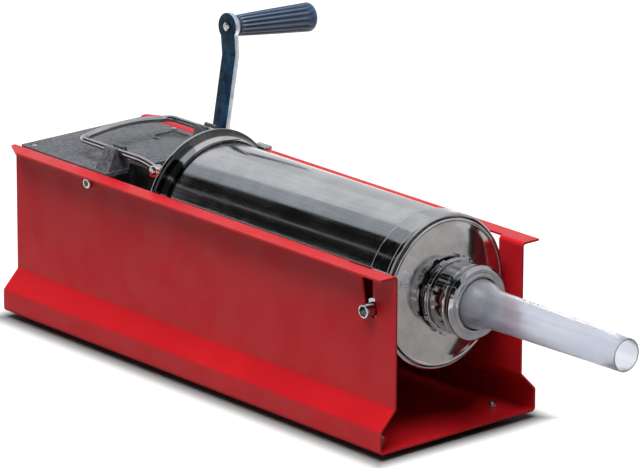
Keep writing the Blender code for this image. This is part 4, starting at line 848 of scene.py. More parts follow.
def blued_steel():
    """Dark blue-black coating over forged steel, cloudy and rubbed through along the edges."""
    steel = Surface("blued_steel", (0.008, 0.022, 0.045), 0.34, Specular_IOR_Level=0.08)
    cloud = steel.patches((70.0, 6.0, 0.7), 0.36, 0.66)
    tone = steel.mixed(cloud, (0.003, 0.008, 0.020), (0.013, 0.050, 0.098))
    fleck = steel.patches((340.0, 4.0, 0.7), 0.58, 0.74)
    tone = steel.mixed(fleck, tone, (0.07, 0.15, 0.22), 0.5)
    edge = steel.mapped(steel.pointiness(), 0.55, 0.66)
    steel.tones(edge, tone, (0.42, 0.45, 0.50), 0.6)
    steel.gloss((150.0, 4.0, 0.65), 0.3, 0.7, 0.26, 0.46)
    steel.bump(steel.noise(240.0, 4.0, 0.6), 0.14, 0.0004)
    return steel.material


def bare_edge():
    """The sheared edge of the crank, bare and bright."""
    steel = Surface("bare_edge", (0.66, 0.68, 0.73), 0.25, 1.0)
    tone = steel.patches((160.0, 4.0, 0.6), 0.3, 0.7)
    steel.tones(tone, (0.50, 0.54, 0.61), (0.76, 0.80, 0.85))
    steel.gloss((200.0, 3.0), 0.3, 0.7, 0.22, 0.36)
    steel.bump(steel.noise(60.0, 2.0, 0.5), 0.06, 0.0003)
    return steel.material


def slate_plastic():
    """Blue moulded grip, with painted highlights pale on its lands and painted shade dark in its flutes."""
    plastic = Surface("slate_plastic", (0.035, 0.060, 0.110), 0.34, Specular_IOR_Level=0.55)
    cloud = plastic.patches((60.0, 4.0, 0.6), 0.35, 0.68)
    tone = plastic.mixed(cloud, (0.011, 0.032, 0.080), (0.022, 0.054, 0.118))
    # Painted highlight: the lands, found by pointiness, are lightened toward pale blue.
    edge = plastic.mapped(plastic.pointiness(), 0.51, 0.56)
    tone = plastic.mixed(edge, tone, (0.40, 0.49, 0.61), 0.85)
    # Painted shade: the flutes, found by pointiness, are darkened almost to black.
    groove = plastic.mapped(plastic.pointiness(), 0.495, 0.455)
    plastic.tones(groove, tone, (0.005, 0.010, 0.024), 0.9)
    plastic.gloss((400.0, 3.0), 0.3, 0.7, 0.3, 0.45)
    plastic.bump(plastic.noise(1300.0, 3.0), 0.10, 0.0002)
    return plastic.material


def milky_plastic():
    """Translucent moulded plastic, slightly blue, with faint flow lines along it."""
    plastic = Surface("milky_plastic", (0.80, 0.81, 0.85), 0.2, IOR=1.3, Transmission_Weight=0.86)
    flow = plastic.noise(1.0, 3.0, 0.5, (9.0, 160.0, 160.0))
    cloud = plastic.mapped(flow, 0.35, 0.65)
    plastic.tones(cloud, (0.67, 0.69, 0.755), (0.745, 0.76, 0.815))
    plastic.gloss((24.0, 3.0), 0.3, 0.7, 0.16, 0.24)
    plastic.bump(flow, 0.05, 0.0004)
    return plastic.material


def white_plastic():
    """Turned white nylon, faintly translucent, with tool marks round it."""
    plastic = Surface("white_plastic", (0.76, 0.76, 0.74), 0.38, Subsurface_Weight=0.15,
                      Subsurface_Scale=0.002)
    tone = plastic.patches((40.0, 4.0, 0.6), 0.35, 0.65)
    plastic.tones(tone, (0.70, 0.70, 0.67), (0.80, 0.80, 0.78))
    plastic.gloss((400.0, 3.0), 0.3, 0.7, 0.3, 0.48)
    plastic.bump(plastic.noise(1.0, 2.0, 0.5, (1500.0, 90.0, 90.0)), 0.1, 0.0002)
    return plastic.material


def pale_silicone():
    """Soft cream-coloured seal."""
    silicone = Surface("pale_silicone", (0.66, 0.63, 0.56), 0.55, Subsurface_Weight=0.2,
                       Subsurface_Scale=0.002)
    tone = silicone.patches((90.0, 4.0, 0.6), 0.35, 0.65)
    silicone.tones(tone, (0.60, 0.57, 0.50), (0.70, 0.68, 0.61))
    silicone.bump(silicone.noise(1200.0, 3.0), 0.15, 0.0002)
    return silicone.material


# Trough

def sheet_centre_line():
    """Corner points (y, z) of the folded sheet's middle, from one flange tip to the other."""
    half = WALL_OUTER - SHEET / 2
    top = FLANGE_TOP - SHEET / 2
    right = [(WALL_OUTER + FLANGE_WIDTH, top), (half, top), (half, FOOT_HEIGHT + FLARE_TOP),
             (half + FLARE_OUT, FOOT_HEIGHT + FLARE_FOOT), (half + FLARE_OUT, FOOT_HEIGHT + SHEET / 2)]
    return right + [(-y, z) for y, z in reversed(right)]


def folded_section():
    """Closed (y, z) outline of the sheet, every fold rounded on both sides."""
    corners = [Vector(point) for point in sheet_centre_line()]
    inner_side = []
    outer_side = []
    for i, corner in enumerate(corners):
        if i in (0, len(corners) - 1):
            along = (corners[1] - corners[0]) if i == 0 else (corners[-1] - corners[-2])
            along.normalize()
            normal = Vector((-along.y, along.x))
            inner_side.append(corner + normal * SHEET / 2)
            outer_side.append(corner - normal * SHEET / 2)
            continue
        came = (corner - corners[i - 1]).normalized()
        goes = (corners[i + 1] - corner).normalized()
        turn = math.atan2(came.x * goes.y - came.y * goes.x, came.dot(goes))
        setback = BEND_RADIUS * math.tan(abs(turn) / 2)
        start = corner - came * setback
        side = math.copysign(1.0, turn)
        centre = start + Vector((-came.y, came.x)) * side * BEND_RADIUS
        steps = 8
        for k in range(steps + 1):
            spoke = (start - centre).normalized()
            spoke.rotate(Matrix.Rotation(turn * k / steps, 2))
            inner_side.append(centre + spoke * (BEND_RADIUS - side * SHEET / 2))
            outer_side.append(centre + spoke * (BEND_RADIUS + side * SHEET / 2))
    return [tuple(point) for point in inner_side + outer_side[::-1]]


def foot_spots():
    half = WALL_OUTER + FLARE_OUT - FOOT_INSET_Y
    return corner_spots(-FOOT_INSET_X, -TROUGH_LENGTH + FOOT_INSET_X, half)


def base_screw_spots():
    return corner_spots(CAVITY_FRONT - BASE_SCREW_INSET, CAVITY_REAR + BASE_SCREW_INSET,
                        CAVITY_HALF - BASE_SCREW_INSET)


def side_bolt_place():
    return (HOUSING_FRONT - SIDE_BOLT_INSET, FLANGE_TOP - SIDE_BOLT_DROP)


def side_slot(side):
    """Cutter for the slot that a trunnion pin drops into, widening toward the flange."""
    radius = PIN_RADIUS + SLOT_CLEARANCE
    outline = arc((PIN_X, PIN_Z), radius, 0, -180, 24)
    top = FLANGE_TOP - SHEET - SEAT
    lean = PIN_Z + 0.020
    outline += [(PIN_X - radius - SLOT_LEAN, top - 0.010),
                (PIN_X - radius - SLOT_MOUTH, top), (PIN_X - radius - SLOT_MOUTH, FLANGE_TOP + SHEET),
                (PIN_X + radius - SLOT_LEAN, FLANGE_TOP + SHEET), (PIN_X + radius - SLOT_LEAN, lean)]
    return side_plate(side, outline, WALL_INNER - 2 * SHEET, WALL_OUTER + BEND_RADIUS)


def flange_chamfer(side):
    """Cutter for the slanted corner at the flange's rear end."""
    tip = WALL_OUTER + FLANGE_WIDTH
    outline = [(-TROUGH_LENGTH - SHEET, side * (tip + SHEET)),
               (-TROUGH_LENGTH + FLANGE_CHAMFER_X, side * (tip + SHEET)),
               (-TROUGH_LENGTH + FLANGE_CHAMFER_X, side * tip),
               (-TROUGH_LENGTH, side * (tip - FLANGE_CHAMFER_Y)),
               (-TROUGH_LENGTH - SHEET, side * (tip - FLANGE_CHAMFER_Y))]
    return plate(outline, "Z", FLANGE_TOP - 2 * SHEET, FLANGE_TOP + SHEET)


def make_trough(paint):
    """The folded sheet with its slots, corner cuts and holes."""
    cutters = []
    bolt = circle(side_bolt_place(), SIDE_BOLT_RADIUS + HOLE_ROOM, NARROW)
    for side in (-1, 1):
        cutters.append(side_slot(side))
        cutters.append(flange_chamfer(side))
        cutters.append(side_plate(side, bolt, WALL_INNER - SHEET, WALL_OUTER + SHEET))
    bush = circle((CRANK_X, CRANK_Z), SHAFT_RADIUS + BUSH_WALL + RUNNING + SEAT, MIDDLE)
    cutters.append(plate(bush, "Y", WALL_INNER - SHEET, WALL_OUTER + SHEET))
    for spots, radius in ((foot_spots(), FOOT_SCREW_RADIUS), (base_screw_spots(), BASE_SCREW_RADIUS)):
        for _, spot, _ in spots:
            hole = circle(spot, radius + HOLE_ROOM, NARROW)
            cutters.append(plate(hole, "Z", FOOT_HEIGHT - SHEET, PAN_TOP + SHEET))
    bm = carved(plate(folded_section(), "X", -TROUGH_LENGTH, 0.0), ("DIFFERENCE", joined(*cutters)))
    dress("frame_trough", bm, paint, bevel=0.00035, sharp=25)


def make_feet(rubber, zinc):
    """Turned rubber feet, their sunk screws, and a nut over each on the pan."""
    head_radius = SCREW_HEAD * FOOT_SCREW_RADIUS
    pocket = head_radius + 0.0007
    hole = FOOT_SCREW_RADIUS + HOLE_ROOM
    floor = FOOT_HEIGHT / 2
    top = FOOT_HEIGHT - SEAT
    edge = 0.0010
    profile = rounded([(0, pocket), (0, FOOT_RADIUS - edge), (edge, FOOT_RADIUS),
                       (0.45 * top, FOOT_RADIUS - 0.0002), (0.55 * top, FOOT_RADIUS - 0.0008),
                       (top, FOOT_RADIUS - edge), (top, hole), (floor, hole), (floor, pocket)], 0.0004)
    dress_each("rubber_foot", lathe(profile, MIDDLE, "Z", (0, 0)), rubber, foot_spots())
    head = floor - SEAT
    tail = PAN_TOP + FOOT_SCREW_TAIL
    profile = [(head - 0.0020, 0), (head - 0.0020, 0.7 * head_radius), (head - 0.0008, head_radius),
               (head, head_radius), (head, FOOT_SCREW_RADIUS)]
    profile += thread(PAN_TOP + 0.0034, tail, FOOT_SCREW_RADIUS, 0.0008)
    dress_each("foot_screw", lathe(profile, NARROW, "Z", (0, 0)), zinc, foot_spots())
    for suffix, spot, _ in foot_spots():
        nut = rounded(hexagon(spot, FOOT_NUT_FLATS, 15.0), 0.0002, 1)
        low = PAN_TOP + HAIR
        bm = plate(nut, "Z", low, low + FOOT_NUT_HEIGHT, [circle(spot, FOOT_SCREW_RADIUS + HAIR, NARROW)])
        new_piece(f"foot_nut_{suffix}", bm, zinc, "frame", bevel=0.0003)


def thread(low, high, radius, pitch):
    """Profile points of a screw's end with grooves in place of a helix, up to its centre."""
    points = []
    depth = 0.3 * pitch
    along = low
    while along + pitch < high - 0.0004:
        points += [(along, radius), (along + 0.5 * pitch, radius - depth)]
        along += pitch
    return points + [(high - 0.0004, radius), (high, radius - 0.0004), (high, 0)]


# Gearbox casting and lid

def housing_outline(corner):
    """The casting's outline from above, with a notch for each leg of the ring."""
    cheek = HOUSING_FRONT - HOUSING_TONGUE
    notch = HOUSING_FRONT - HOUSING_NOTCH_DEPTH
    right = [(HOUSING_REAR, -HOUSING_HALF), (cheek, -HOUSING_HALF), (cheek, -HOUSING_NOTCH_OUTER),
             (notch, -HOUSING_NOTCH_OUTER), (notch, -HOUSING_NOTCH_INNER),
             (HOUSING_FRONT, -HOUSING_NOTCH_INNER)]
    return rounded(right + [(x, -y) for x, y in reversed(right)], corner, 4)


def lid_screw_spots():
    inset = HOUSING_WALL + LID_SCREW_INSET
    return corner_spots(CAVITY_FRONT + HOUSING_WALL / 2, HOUSING_REAR + inset, HOUSING_HALF - inset)


def saddle(side):
    """A cast lug with an open U for the bail's leg, its foot spread onto the lid."""
    low = LID_TOP - LID_THICKNESS / 2
    top = LID_TOP + SADDLE_HEIGHT
    groove = BAIL_ROD_RADIUS + SEAT
    inner = BAIL_HALF_WIDTH - groove
    outer = BAIL_HALF_WIDTH + groove
    outline = [(inner - SADDLE_CHEEK - SADDLE_INNER_FLARE, low), (inner - SADDLE_CHEEK - 0.001, BAIL_Z),
               (inner - 0.8 * SADDLE_CHEEK, top - 0.0006), (inner - 0.4 * SADDLE_CHEEK, top),
               (inner, top - 0.0008)]
    outline += arc((BAIL_HALF_WIDTH, BAIL_Z), groove, 180, 360, 16)
    outline += [(outer, top - 0.0008), (outer + 0.4 * SADDLE_CHEEK, top),
                (outer + 0.8 * SADDLE_CHEEK, top - 0.0006), (outer + SADDLE_CHEEK + 0.001, BAIL_Z),
                (outer + SADDLE_CHEEK + SADDLE_OUTER_FLARE, low)]
    outline = [(side * y, z) for y, z in outline]
    bm = plate(outline, "X", SADDLE_FRONT - SADDLE_LENGTH, SADDLE_FRONT)
    for vert in bm.verts:
        if vert.co.x < SADDLE_FRONT - SADDLE_LENGTH / 2 and vert.co.z > LID_TOP:
            vert.co.x += SADDLE_SLOPE * (vert.co.z - LID_TOP) / SADDLE_HEIGHT
    return bm


def make_lid(cast, zinc):
    """The cast lid with its saddles, a shallow square recess, an oil slot and sunk screws."""
    head = SCREW_HEAD * LID_SCREW_RADIUS
    lid = plate(housing_outline(LID_CORNER), "Z", LID_UNDER, LID_TOP)
    above = LID_TOP + SHEET
    pockets = []
    for _, spot, _ in lid_screw_spots():
        pockets.append(plate(circle(spot, head + HOLE_ROOM, NARROW), "Z", LID_TOP - LID_POCKET, above))
    x, y = LID_RECESS
    side = LID_RECESS_SIDE
    outline = rounded([(x, y), (x + side, y), (x + side, y + side), (x, y + side)], 0.003, 5)
    pockets.append(plate(outline, "Z", LID_TOP - LID_RECESS_DEPTH, above))
    x, y = LID_SLOT
    outline = arc((x + LID_SLOT_HALF, y), LID_SLOT_RADIUS, -90, 90, 12)
    outline += arc((x - LID_SLOT_HALF, y), LID_SLOT_RADIUS, 90, 270, 12)
    pockets.append(plate(outline, "Z", LID_UNDER - SHEET, LID_TOP + SHEET))
    bm = carved(lid, ("UNION", joined(saddle(-1), saddle(1))), ("DIFFERENCE", joined(*pockets)))
    dress("gearbox_lid", bm, cast, bevel=0.0009, sharp=28, segments=3)
    low = LID_TOP - LID_POCKET + SEAT
    top = LID_TOP - SEAT
    tip = LID_TOP - LID_SCREW_DEPTH
    profile = [(tip, 0), (tip, LID_SCREW_RADIUS), (low, LID_SCREW_RADIUS), (low, head), (top - 0.0006, head),
               (top, head - 0.0008), (top, 0)]
    bm = carved(lathe(profile, NARROW, "Z", (0, 0)), ("DIFFERENCE", cross_recess(top)))
    dress_each("lid_screw", bm, zinc, lid_screw_spots())


def cross_recess(top):
    """Cutter for a cross-head drive."""
    wide = 0.0024
    thin = 0.0005
    deep = top - 0.0011
    return joined(block((-wide, wide), (-thin, thin), (deep, top + 0.001)),
                  block((-thin, thin), (-wide, wide), (deep - 0.00001, top + 0.0011)))


def socket_bolt(seat_y, radius, length):
    """A socket-head bolt along Y, its head outside seat_y, with a hexagon socket."""
    head = 1.65 * radius
    height = 1.25 * radius
    top = seat_y + height
    profile = [(seat_y - length, 0), (seat_y - length, radius), (seat_y, radius), (seat_y, head),
               (top - 0.0006, head), (top, head - 0.0007), (top, 0)]
    bm = lathe(rounded_open(profile), NARROW, "Y", (0, 0))
    socket = plate(hexagon((0, 0), 2.0 * radius), "Y", top - 1.1 * radius, top + radius)
    return carved(bm, ("DIFFERENCE", socket))


def rounded_open(profile):
    """Round the corners of a profile that starts and ends on its axis, one point kept at each end."""
    kept = []
    for along, radius in rounded(profile, 0.0003, 2):
        if radius > 1e-5:
            kept.append((along, radius))
        elif not kept or kept[-1][1] > 0:
            kept.append((along, 0.0))
    return kept


def make_housing_screws(zinc):
    """The bolts through the trough's walls and floor that hold the casting."""
    seat = WALL_OUTER + SEAT
    bolt = socket_bolt(seat, SIDE_BOLT_RADIUS, SIDE_BOLT_LENGTH)
    dress_each("side_bolt", bolt, zinc, side_spots(*side_bolt_place()))
    low = FOOT_HEIGHT - SEAT
    head = 1.7 * BASE_SCREW_RADIUS
    under = low - BASE_SCREW_HEAD
    tail = PAN_TOP + BASE_SCREW_TAIL
    profile = [(under, 0), (under, head - 0.0010), (low - 0.0030, head), (low, head),
               (low, BASE_SCREW_RADIUS), (tail, BASE_SCREW_RADIUS), (tail, 0)]
    bm = lathe(profile, NARROW, "Z", (0, 0))
    socket = plate(hexagon((0, 0), BASE_SCREW_SOCKET), "Z", under - 0.0020, low - 0.0018)
    dress_each("base_screw", carved(bm, ("DIFFERENCE", socket)), zinc, base_screw_spots())


def make_crank_bush(bronze):
    """The bush whose collar stands outside the wall round the crank's hub."""
    bore = SHAFT_RADIUS + RUNNING
    outer = bore + BUSH_WALL
    outside = WALL_OUTER + BUSH_REACH
    profile = rounded([(CAVITY_HALF, bore), (CAVITY_HALF, outer), (outside, outer), (outside, bore)], 0.0005)
    dress("crank_bush_left", lathe(profile, MIDDLE, "Y", (CRANK_X, CRANK_Z)), bronze)


# Cylinder

def make_tube(steel):
    """The rolled tube: thin wall, both ends turned smooth."""
    edge = 0.0006
    profile = rounded([(TUBE_REAR_X, TUBE_BORE), (TUBE_REAR_X, TUBE_RADIUS), (TUBE_FRONT_X, TUBE_RADIUS),
                       (TUBE_FRONT_X, TUBE_BORE)], edge, 3)
    bm = lathe(profile, WIDE, "X")
    dress("cylinder_tube", bm, steel, sharp=40)


def lug_reach():
    """How far from the middle plane a lug's inner and outer faces lie."""
    inner = BAIL_HALF_WIDTH + BAIL_EYE_WIDTH / 2 + SEAT
    return inner, inner + LUG_THICKNESS


def bail_lug(side):
    """The ring's ear for one leg of the bail."""
    centre = (BAIL_PIVOT_X, BAIL_PIVOT_Z)
    front = RING_REAR_X + LUG_ROOT
    low = BAIL_PIVOT_Z - BAIL_EYE_RADIUS - 0.0010
    outline = arc(centre, BAIL_EYE_RADIUS, 90, 180, 12)
    outline += [(BAIL_PIVOT_X - BAIL_EYE_RADIUS, low), (front, low), (front, BAIL_PIVOT_Z + BAIL_EYE_RADIUS)]
    hole = circle(centre, BAIL_PIN_RADIUS + SEAT, NARROW)
    return side_plate(side, outline, *lug_reach(), [hole])


def make_rear_ring(plated):
    """A spun rim: a full bead at the mouth that sweeps down to the tube."""
    bore = TUBE_RADIUS + SEAT
    rear = RING_REAR_X
    front = RING_REAR_X + RING_LENGTH
    rim = TUBE_RADIUS + RING_FLARE
    bead = RING_BEAD
    profile = [(rear, bore), (rear, rim - bead)]
    profile += [(rear + bead + across, rim - bead + up) for across, up in arc((0, 0), bead, 175, 20, 12)]
    for share in shares(14):
        profile.append((rear + 2 * bead + (front - rear - 2 * bead) * share,
                        rim - bead - (rim - bead - bore - 0.0008) * math.sin(share * math.pi / 2) ** 0.8))
    profile.append((front, bore))
    flat = WALL_INNER - SLIDING

    def trimmed(_, radius, angle):
        """The ring's sides are cut flat, so that it drops in between the trough walls."""
        return min(radius, flat / max(abs(math.cos(angle)), 1e-6))

    ring = lathe(profile, WIDE, "X", AXIS, trimmed)
    dress("rear_ring", carved(ring, ("UNION", joined(bail_lug(-1), bail_lug(1)))), plated, sharp=38)


def make_front_band(chrome, rubber):
    """The band at the tube's mouth with a boss for each pin, and a thin black ring in front of it, painted
    shade for the groove between band and cap.
    """
    bore = TUBE_RADIUS + SEAT
    outer = bore + BAND_WALL
    front = TUBE_FRONT_X + BAND_LIP
    rear = front - BAND_WIDTH
    lip = 0.0012
    profile = rounded([(rear, bore), (rear, outer - 0.0004, 0.0009), (rear + 0.0022, outer - 0.0002),
                       (front - 4.2 * lip, outer - 0.0002), (front - 3.2 * lip, outer + 0.4 * lip, 0.0008),
                       (front - lip, outer + 0.4 * lip, 0.0010), (front, outer - lip, 0.0008), (front, bore)],
                      0.0003, 4)
    boss = circle((PIN_X, PIN_Z), PIN_RADIUS + PIN_BOSS, MIDDLE)
    hole = circle((PIN_X, PIN_Z), PIN_RADIUS + SEAT, MIDDLE)
    bosses = []
    holes = []
    for side in (-1, 1):
        bosses.append(side_plate(side, boss, TUBE_RADIUS + BAND_WALL / 2, WALL_INNER - 2 * SEAT))
        holes.append(side_plate(side, hole, TUBE_RADIUS - 2 * SHEET, WALL_OUTER))
    band = carved(lathe(profile, WIDE), ("UNION", joined(*bosses)), ("DIFFERENCE", joined(*holes)))
    dress("front_band", band, chrome, sharp=38)
    # Painted shade: a thin black rubber ring in the groove in front of the band, where shade falls.
    low = front + HAIR
    rim = TUBE_RADIUS - 0.0006
    edge = rim - 0.0004
    high = low + 0.0014
    profile = [(low, edge), (low, rim), (high, rim), (high, edge)]
    new_piece("groove_painted_shade_ring", lathe(profile, WIDE), rubber, "frame")


def make_trunnion_pins(chrome):
    """The pins that the cylinder hangs on, with a hexagon socket in each end."""
    inner = TUBE_RADIUS + SEAT
    outer = WALL_OUTER + PIN_REACH
    edge = 0.0009
    profile = [(inner, 0), (inner, PIN_RADIUS), (outer - edge, PIN_RADIUS),
               (outer - 0.3 * edge, PIN_RADIUS - 0.3 * edge), (outer, PIN_RADIUS - edge), (outer, 0)]
    socket = plate(hexagon((0, 0), 1.42 * PIN_RADIUS), "Y", outer - PIN_SOCKET_DEPTH, outer + edge)
    bm = carved(lathe(profile, MIDDLE, "Y", (0, 0)), ("DIFFERENCE", socket))
    dress_each("trunnion_pin", bm, chrome, side_spots(PIN_X, PIN_Z))


def make_end_cap(steel):
    """A spun cap: skirt in the tube, rolled edge over its end, domed face and threaded neck."""
    skirt = TUBE_BORE - SEAT
    edge = TUBE_RADIUS - 0.0008
    inner = NECK_BORE_RADIUS
    face = CAP_FACE_X
    dome = CAP_BULGE
    front = [(TUBE_FRONT_X - CAP_SKIRT, skirt), (CAP_EDGE_X, skirt), (CAP_EDGE_X, edge - 0.0006)]
    roll = face - CAP_EDGE / 2
    front += arc((roll, edge - CAP_ROLL), CAP_ROLL, 90, -10, 8)
    front += [(roll + 0.0012, edge - 0.0030), (face - 0.0014, edge - CAP_LEDGE)]
    for share in shares(14, 1):
        radius = edge - CAP_LEDGE - (edge - CAP_LEDGE - NECK_RADIUS - 0.0010) * share
        front.append((face - 0.0010 + dome * (1 - (1 - share) ** 2), radius))
    front += [(face + dome, NECK_RADIUS + 0.0002)]
    along = face + dome + 0.0012
    root = NECK_RADIUS - CAP_THREAD
    while along + CAP_PITCH < NECK_END_X:
        front += [(along, NECK_RADIUS), (along + 0.35 * CAP_PITCH, NECK_RADIUS)]
        front += [(along + 0.5 * CAP_PITCH, root), (along + 0.85 * CAP_PITCH, root)]
        along += CAP_PITCH
    front += [(NECK_END_X - 0.0006, NECK_RADIUS), (NECK_END_X, NECK_RADIUS - 0.0006), (NECK_END_X, inner)]
    back = [(face + dome - 2 * CAP_WALL, inner)]
    for share in shares(6):
        radius = inner + 0.0040 + (skirt - CAP_WALL - inner - 0.0080) * share
        back.append((face - 0.0010 - CAP_WALL + dome * (1 - share ** 2) - 0.0006, radius))
    back += [(face - CAP_EDGE / 2, skirt - CAP_WALL), (TUBE_FRONT_X - CAP_SKIRT, skirt - CAP_WALL)]
    dress("end_cap", lathe(front + back, WIDE), steel, sharp=42)


def make_small_trim(chrome, zinc):
    """A tab on the ring's far side, and a small bright screw at the lid's far edge."""
    low = AXIS_Z + TAB_OVER_AXIS
    tab = block(TAB_X, TAB_Y, (low, low + TAB_THICKNESS))
    new_piece("ring_tab", tab, chrome, "frame", bevel=0.0008)
    head = LID_TOP + 0.0002
    profile = [(head, 0), (head, 0.0028), (head + 0.0009, 0.0028), (head + 0.0016, 0.0019),
               (head + 0.0017, 0)]
    screw = lathe(profile, NARROW, "Z", LID_SIDE_SCREW)
    new_piece("lid_side_screw", screw, zinc, "frame")


# Nozzle and ring nut

def make_gasket(silicone):
    """The flat seal between the neck and the nozzle's flange."""
    low = NECK_END_X + SEAT
    high = low + GASKET_THICKNESS - SEAT
    profile = rounded([(low, NECK_BORE_RADIUS), (low, NECK_RADIUS - 0.0010), (high, NECK_RADIUS - 0.0010),
                       (high, NECK_BORE_RADIUS)], 0.0005)
    dress("nozzle_gasket", lathe(profile, MIDDLE * 2), silicone)


def nozzle_radius(x):
    """The nozzle's outer radius: a bell behind the nut, then a slight taper to the tip."""
    start = NUT_SEAT_X
    if x < start + NOZZLE_BELL:
        share = (x - start) / NOZZLE_BELL
        drop = NOZZLE_ROOT_RADIUS - NOZZLE_TUBE_RADIUS
        return NOZZLE_ROOT_RADIUS - drop * (0.5 - 0.5 * math.cos(math.pi * share ** 1.15))
    share = (x - start - NOZZLE_BELL) / (NOZZLE_REACH - start - NOZZLE_BELL)
    return NOZZLE_TUBE_RADIUS + (NOZZLE_TIP_RADIUS - NOZZLE_TUBE_RADIUS) * share


def make_nozzle(plastic):
    """The moulded nozzle, flange to rounded tip, with an even wall."""
    low = NECK_END_X + GASKET_THICKNESS + 2 * SEAT
    flange = NECK_RADIUS - 0.0006
    stations = [NUT_SEAT_X + NOZZLE_BELL * k / 14 for k in range(15)]
    straight = NUT_SEAT_X + NOZZLE_BELL
    stations += [straight + (NOZZLE_REACH - straight) * k / 8 for k in range(1, 9)]
    outside = [(x, nozzle_radius(x)) for x in stations]
    inside = [(x, radius - NOZZLE_WALL) for x, radius in reversed(outside)]
    lip = outside[-1]
    rim = [(lip[0] - 0.0006 + 0.0006 * math.cos(a), lip[1] - NOZZLE_WALL / 2 + NOZZLE_WALL / 2 * math.sin(a))
           for a in (math.radians(d) for d in range(70, -71, -20))]
    profile = [(low, NOZZLE_ROOT_RADIUS - NOZZLE_WALL), (low, flange - 0.0005), (low + 0.0005, flange),
               (low + NOZZLE_FLANGE - 0.0005, flange), (low + NOZZLE_FLANGE, flange - 0.0005),
               (low + NOZZLE_FLANGE, NOZZLE_ROOT_RADIUS)]
    outside[-1] = (lip[0] - 0.0006, lip[1])
    inside[0] = (lip[0] - 0.0006, lip[1] - NOZZLE_WALL)
    profile += outside[1:] + rim + inside[:-1]
    dress("nozzle", lathe(profile, 2 * MIDDLE), plastic, sharp=50)


def make_ring_nut(chrome):
    """The hand nut: lugged collar, ribbed barrel and a rolled lip round its mouth."""
    rear = NUT_REAR_X
    front = NUT_FRONT_X
    rim = NUT_BORE + NUT_WALL + NUT_RIM
    barrel = rim - 0.0016
    collar = rear + 0.0046
    lip = front - 0.0100
    profile = rounded([(rear, NUT_BORE), (rear, rim - 0.0002, 0.0008), (collar, rim - 0.0002, 0.0010),
                       (collar + 0.0004, barrel - 0.0022, 0.0005), (collar + 0.0022, barrel - 0.0022, 0.0005),
                       (collar + 0.0030, barrel, 0.0008), (lip - 0.0030, barrel, 0.0006),
                       (lip - 0.0020, barrel - 0.0014, 0.0004), (lip - 0.0004, barrel - 0.0014, 0.0004),
                       (lip, rim - 0.0010, 0.0008), (front - 0.0026, rim - 0.0006, 0.0024),
                       (front, rim - 0.0034, 0.0012), (front, rim - 0.0060, 0.0006),
                       (front - 0.0007, rim - 0.0066, 0.0004), (front - 0.0007, rim - 0.0076, 0.0004),
                       (front, rim - 0.0082, 0.0006), (front, NUT_MOUTH_RADIUS, 0.0007),
                       (NUT_SEAT_X, NUT_MOUTH_RADIUS), (NUT_SEAT_X, NUT_BORE)], 0.0003, 4)

    def lugged(along, radius, angle):
        """Short spanner lugs round the collar, and ribs along the barrel behind the lip."""
        if radius <= NUT_BORE + 0.0006 or along > lip - 0.0024:
            return radius
        if along <= collar + 0.0002:
            crest = min(1.0, max(0.0, (-math.cos(NUT_LUGS * angle) - 0.72) / 0.12))
            return radius + crest * NUT_LUG * 0.7
        if along < collar + 0.0024:
            return radius
        ridge = 0.5 - 0.5 * math.cos(2 * NUT_LUGS * angle)
        return radius - NUT_RIB * (1 - ridge) ** 2

    dress("ring_nut", lathe(profile, NUT_LUGS * 36, "X", AXIS, lugged), chrome, sharp=50)


# Piston

def make_piston(plastic, silicone):
    """The piston with a dished back, and the seal in its groove."""
    outer = TUBE_BORE - PISTON_GAP
    seal_low = PISTON_REAR_X + (PISTON_LENGTH - SEAL_WIDTH) / 2
    seal_high = seal_low + SEAL_WIDTH
    groove = outer - SEAL_DEPTH
    bore = RACK_STUD_RADIUS + SEAT
    inside, outside = PISTON_DISH
    dish = PISTON_REAR_X + PISTON_DISH_DEPTH
    profile = rounded([(PISTON_REAR_X, bore, 0), (PISTON_REAR_X, inside), (dish, inside + 0.0020),
                       (dish, outside - 0.0020), (PISTON_REAR_X, outside), (PISTON_REAR_X, outer),
                       (seal_low, outer), (seal_low, groove), (seal_high, groove), (seal_high, outer),
                       (PISTON_FRONT_X, outer, 0.0015), (PISTON_FRONT_X, bore, 0)], 0.0006)
    dress("piston_head", lathe(profile, WIDE), plastic, sharp=40)
    rim = TUBE_BORE - SEAT
    profile = rounded([(seal_low + SEAT, groove + SEAT), (seal_low + SEAT, outer),
                       ((seal_low + seal_high) / 2, rim), (seal_high - SEAT, outer),
                       (seal_high - SEAT, groove + SEAT)], 0.0008)
    dress("piston_seal", lathe(profile, WIDE), silicone, sharp=50)


# Bail

def bail_path():
    """The rod's line from one eye, down to the saddle, round the rear bow and back."""
    start = Vector((BAIL_PIVOT_X, 0.0, BAIL_PIVOT_Z))
    knee = Vector((BAIL_PIVOT_X - BAIL_DROP_LENGTH, 0.0, BAIL_Z))
    lead = (knee - start).normalized() * (0.75 * BAIL_EYE_RADIUS)
    near = [start + lead, start + (knee - start) * 0.7, knee + (knee - start) * 0.05]
    near[-1].z = BAIL_Z - 0.0004
    near.append(Vector((knee.x - 0.006, 0.0, BAIL_Z)))
    half = smooth_path([(point.x, -BAIL_HALF_WIDTH, point.z) for point in near])
    corner = (BAIL_REAR_X + BAIL_CORNER, -BAIL_HALF_WIDTH + BAIL_CORNER)
    half += [Vector((x, y, BAIL_Z)) for x, y in arc(corner, BAIL_CORNER, 270, 180, 12)]
    reach = BAIL_HALF_WIDTH - BAIL_CORNER
    for share in shares(12, 1):
        y = -reach * (1 - share)
        half.append(Vector((BAIL_REAR_X, y, BAIL_Z + BAIL_ARCH * (1 - (y / reach) ** 2))))
    return half + [Vector((p.x, -p.y, p.z)) for p in reversed(half[:-1])]


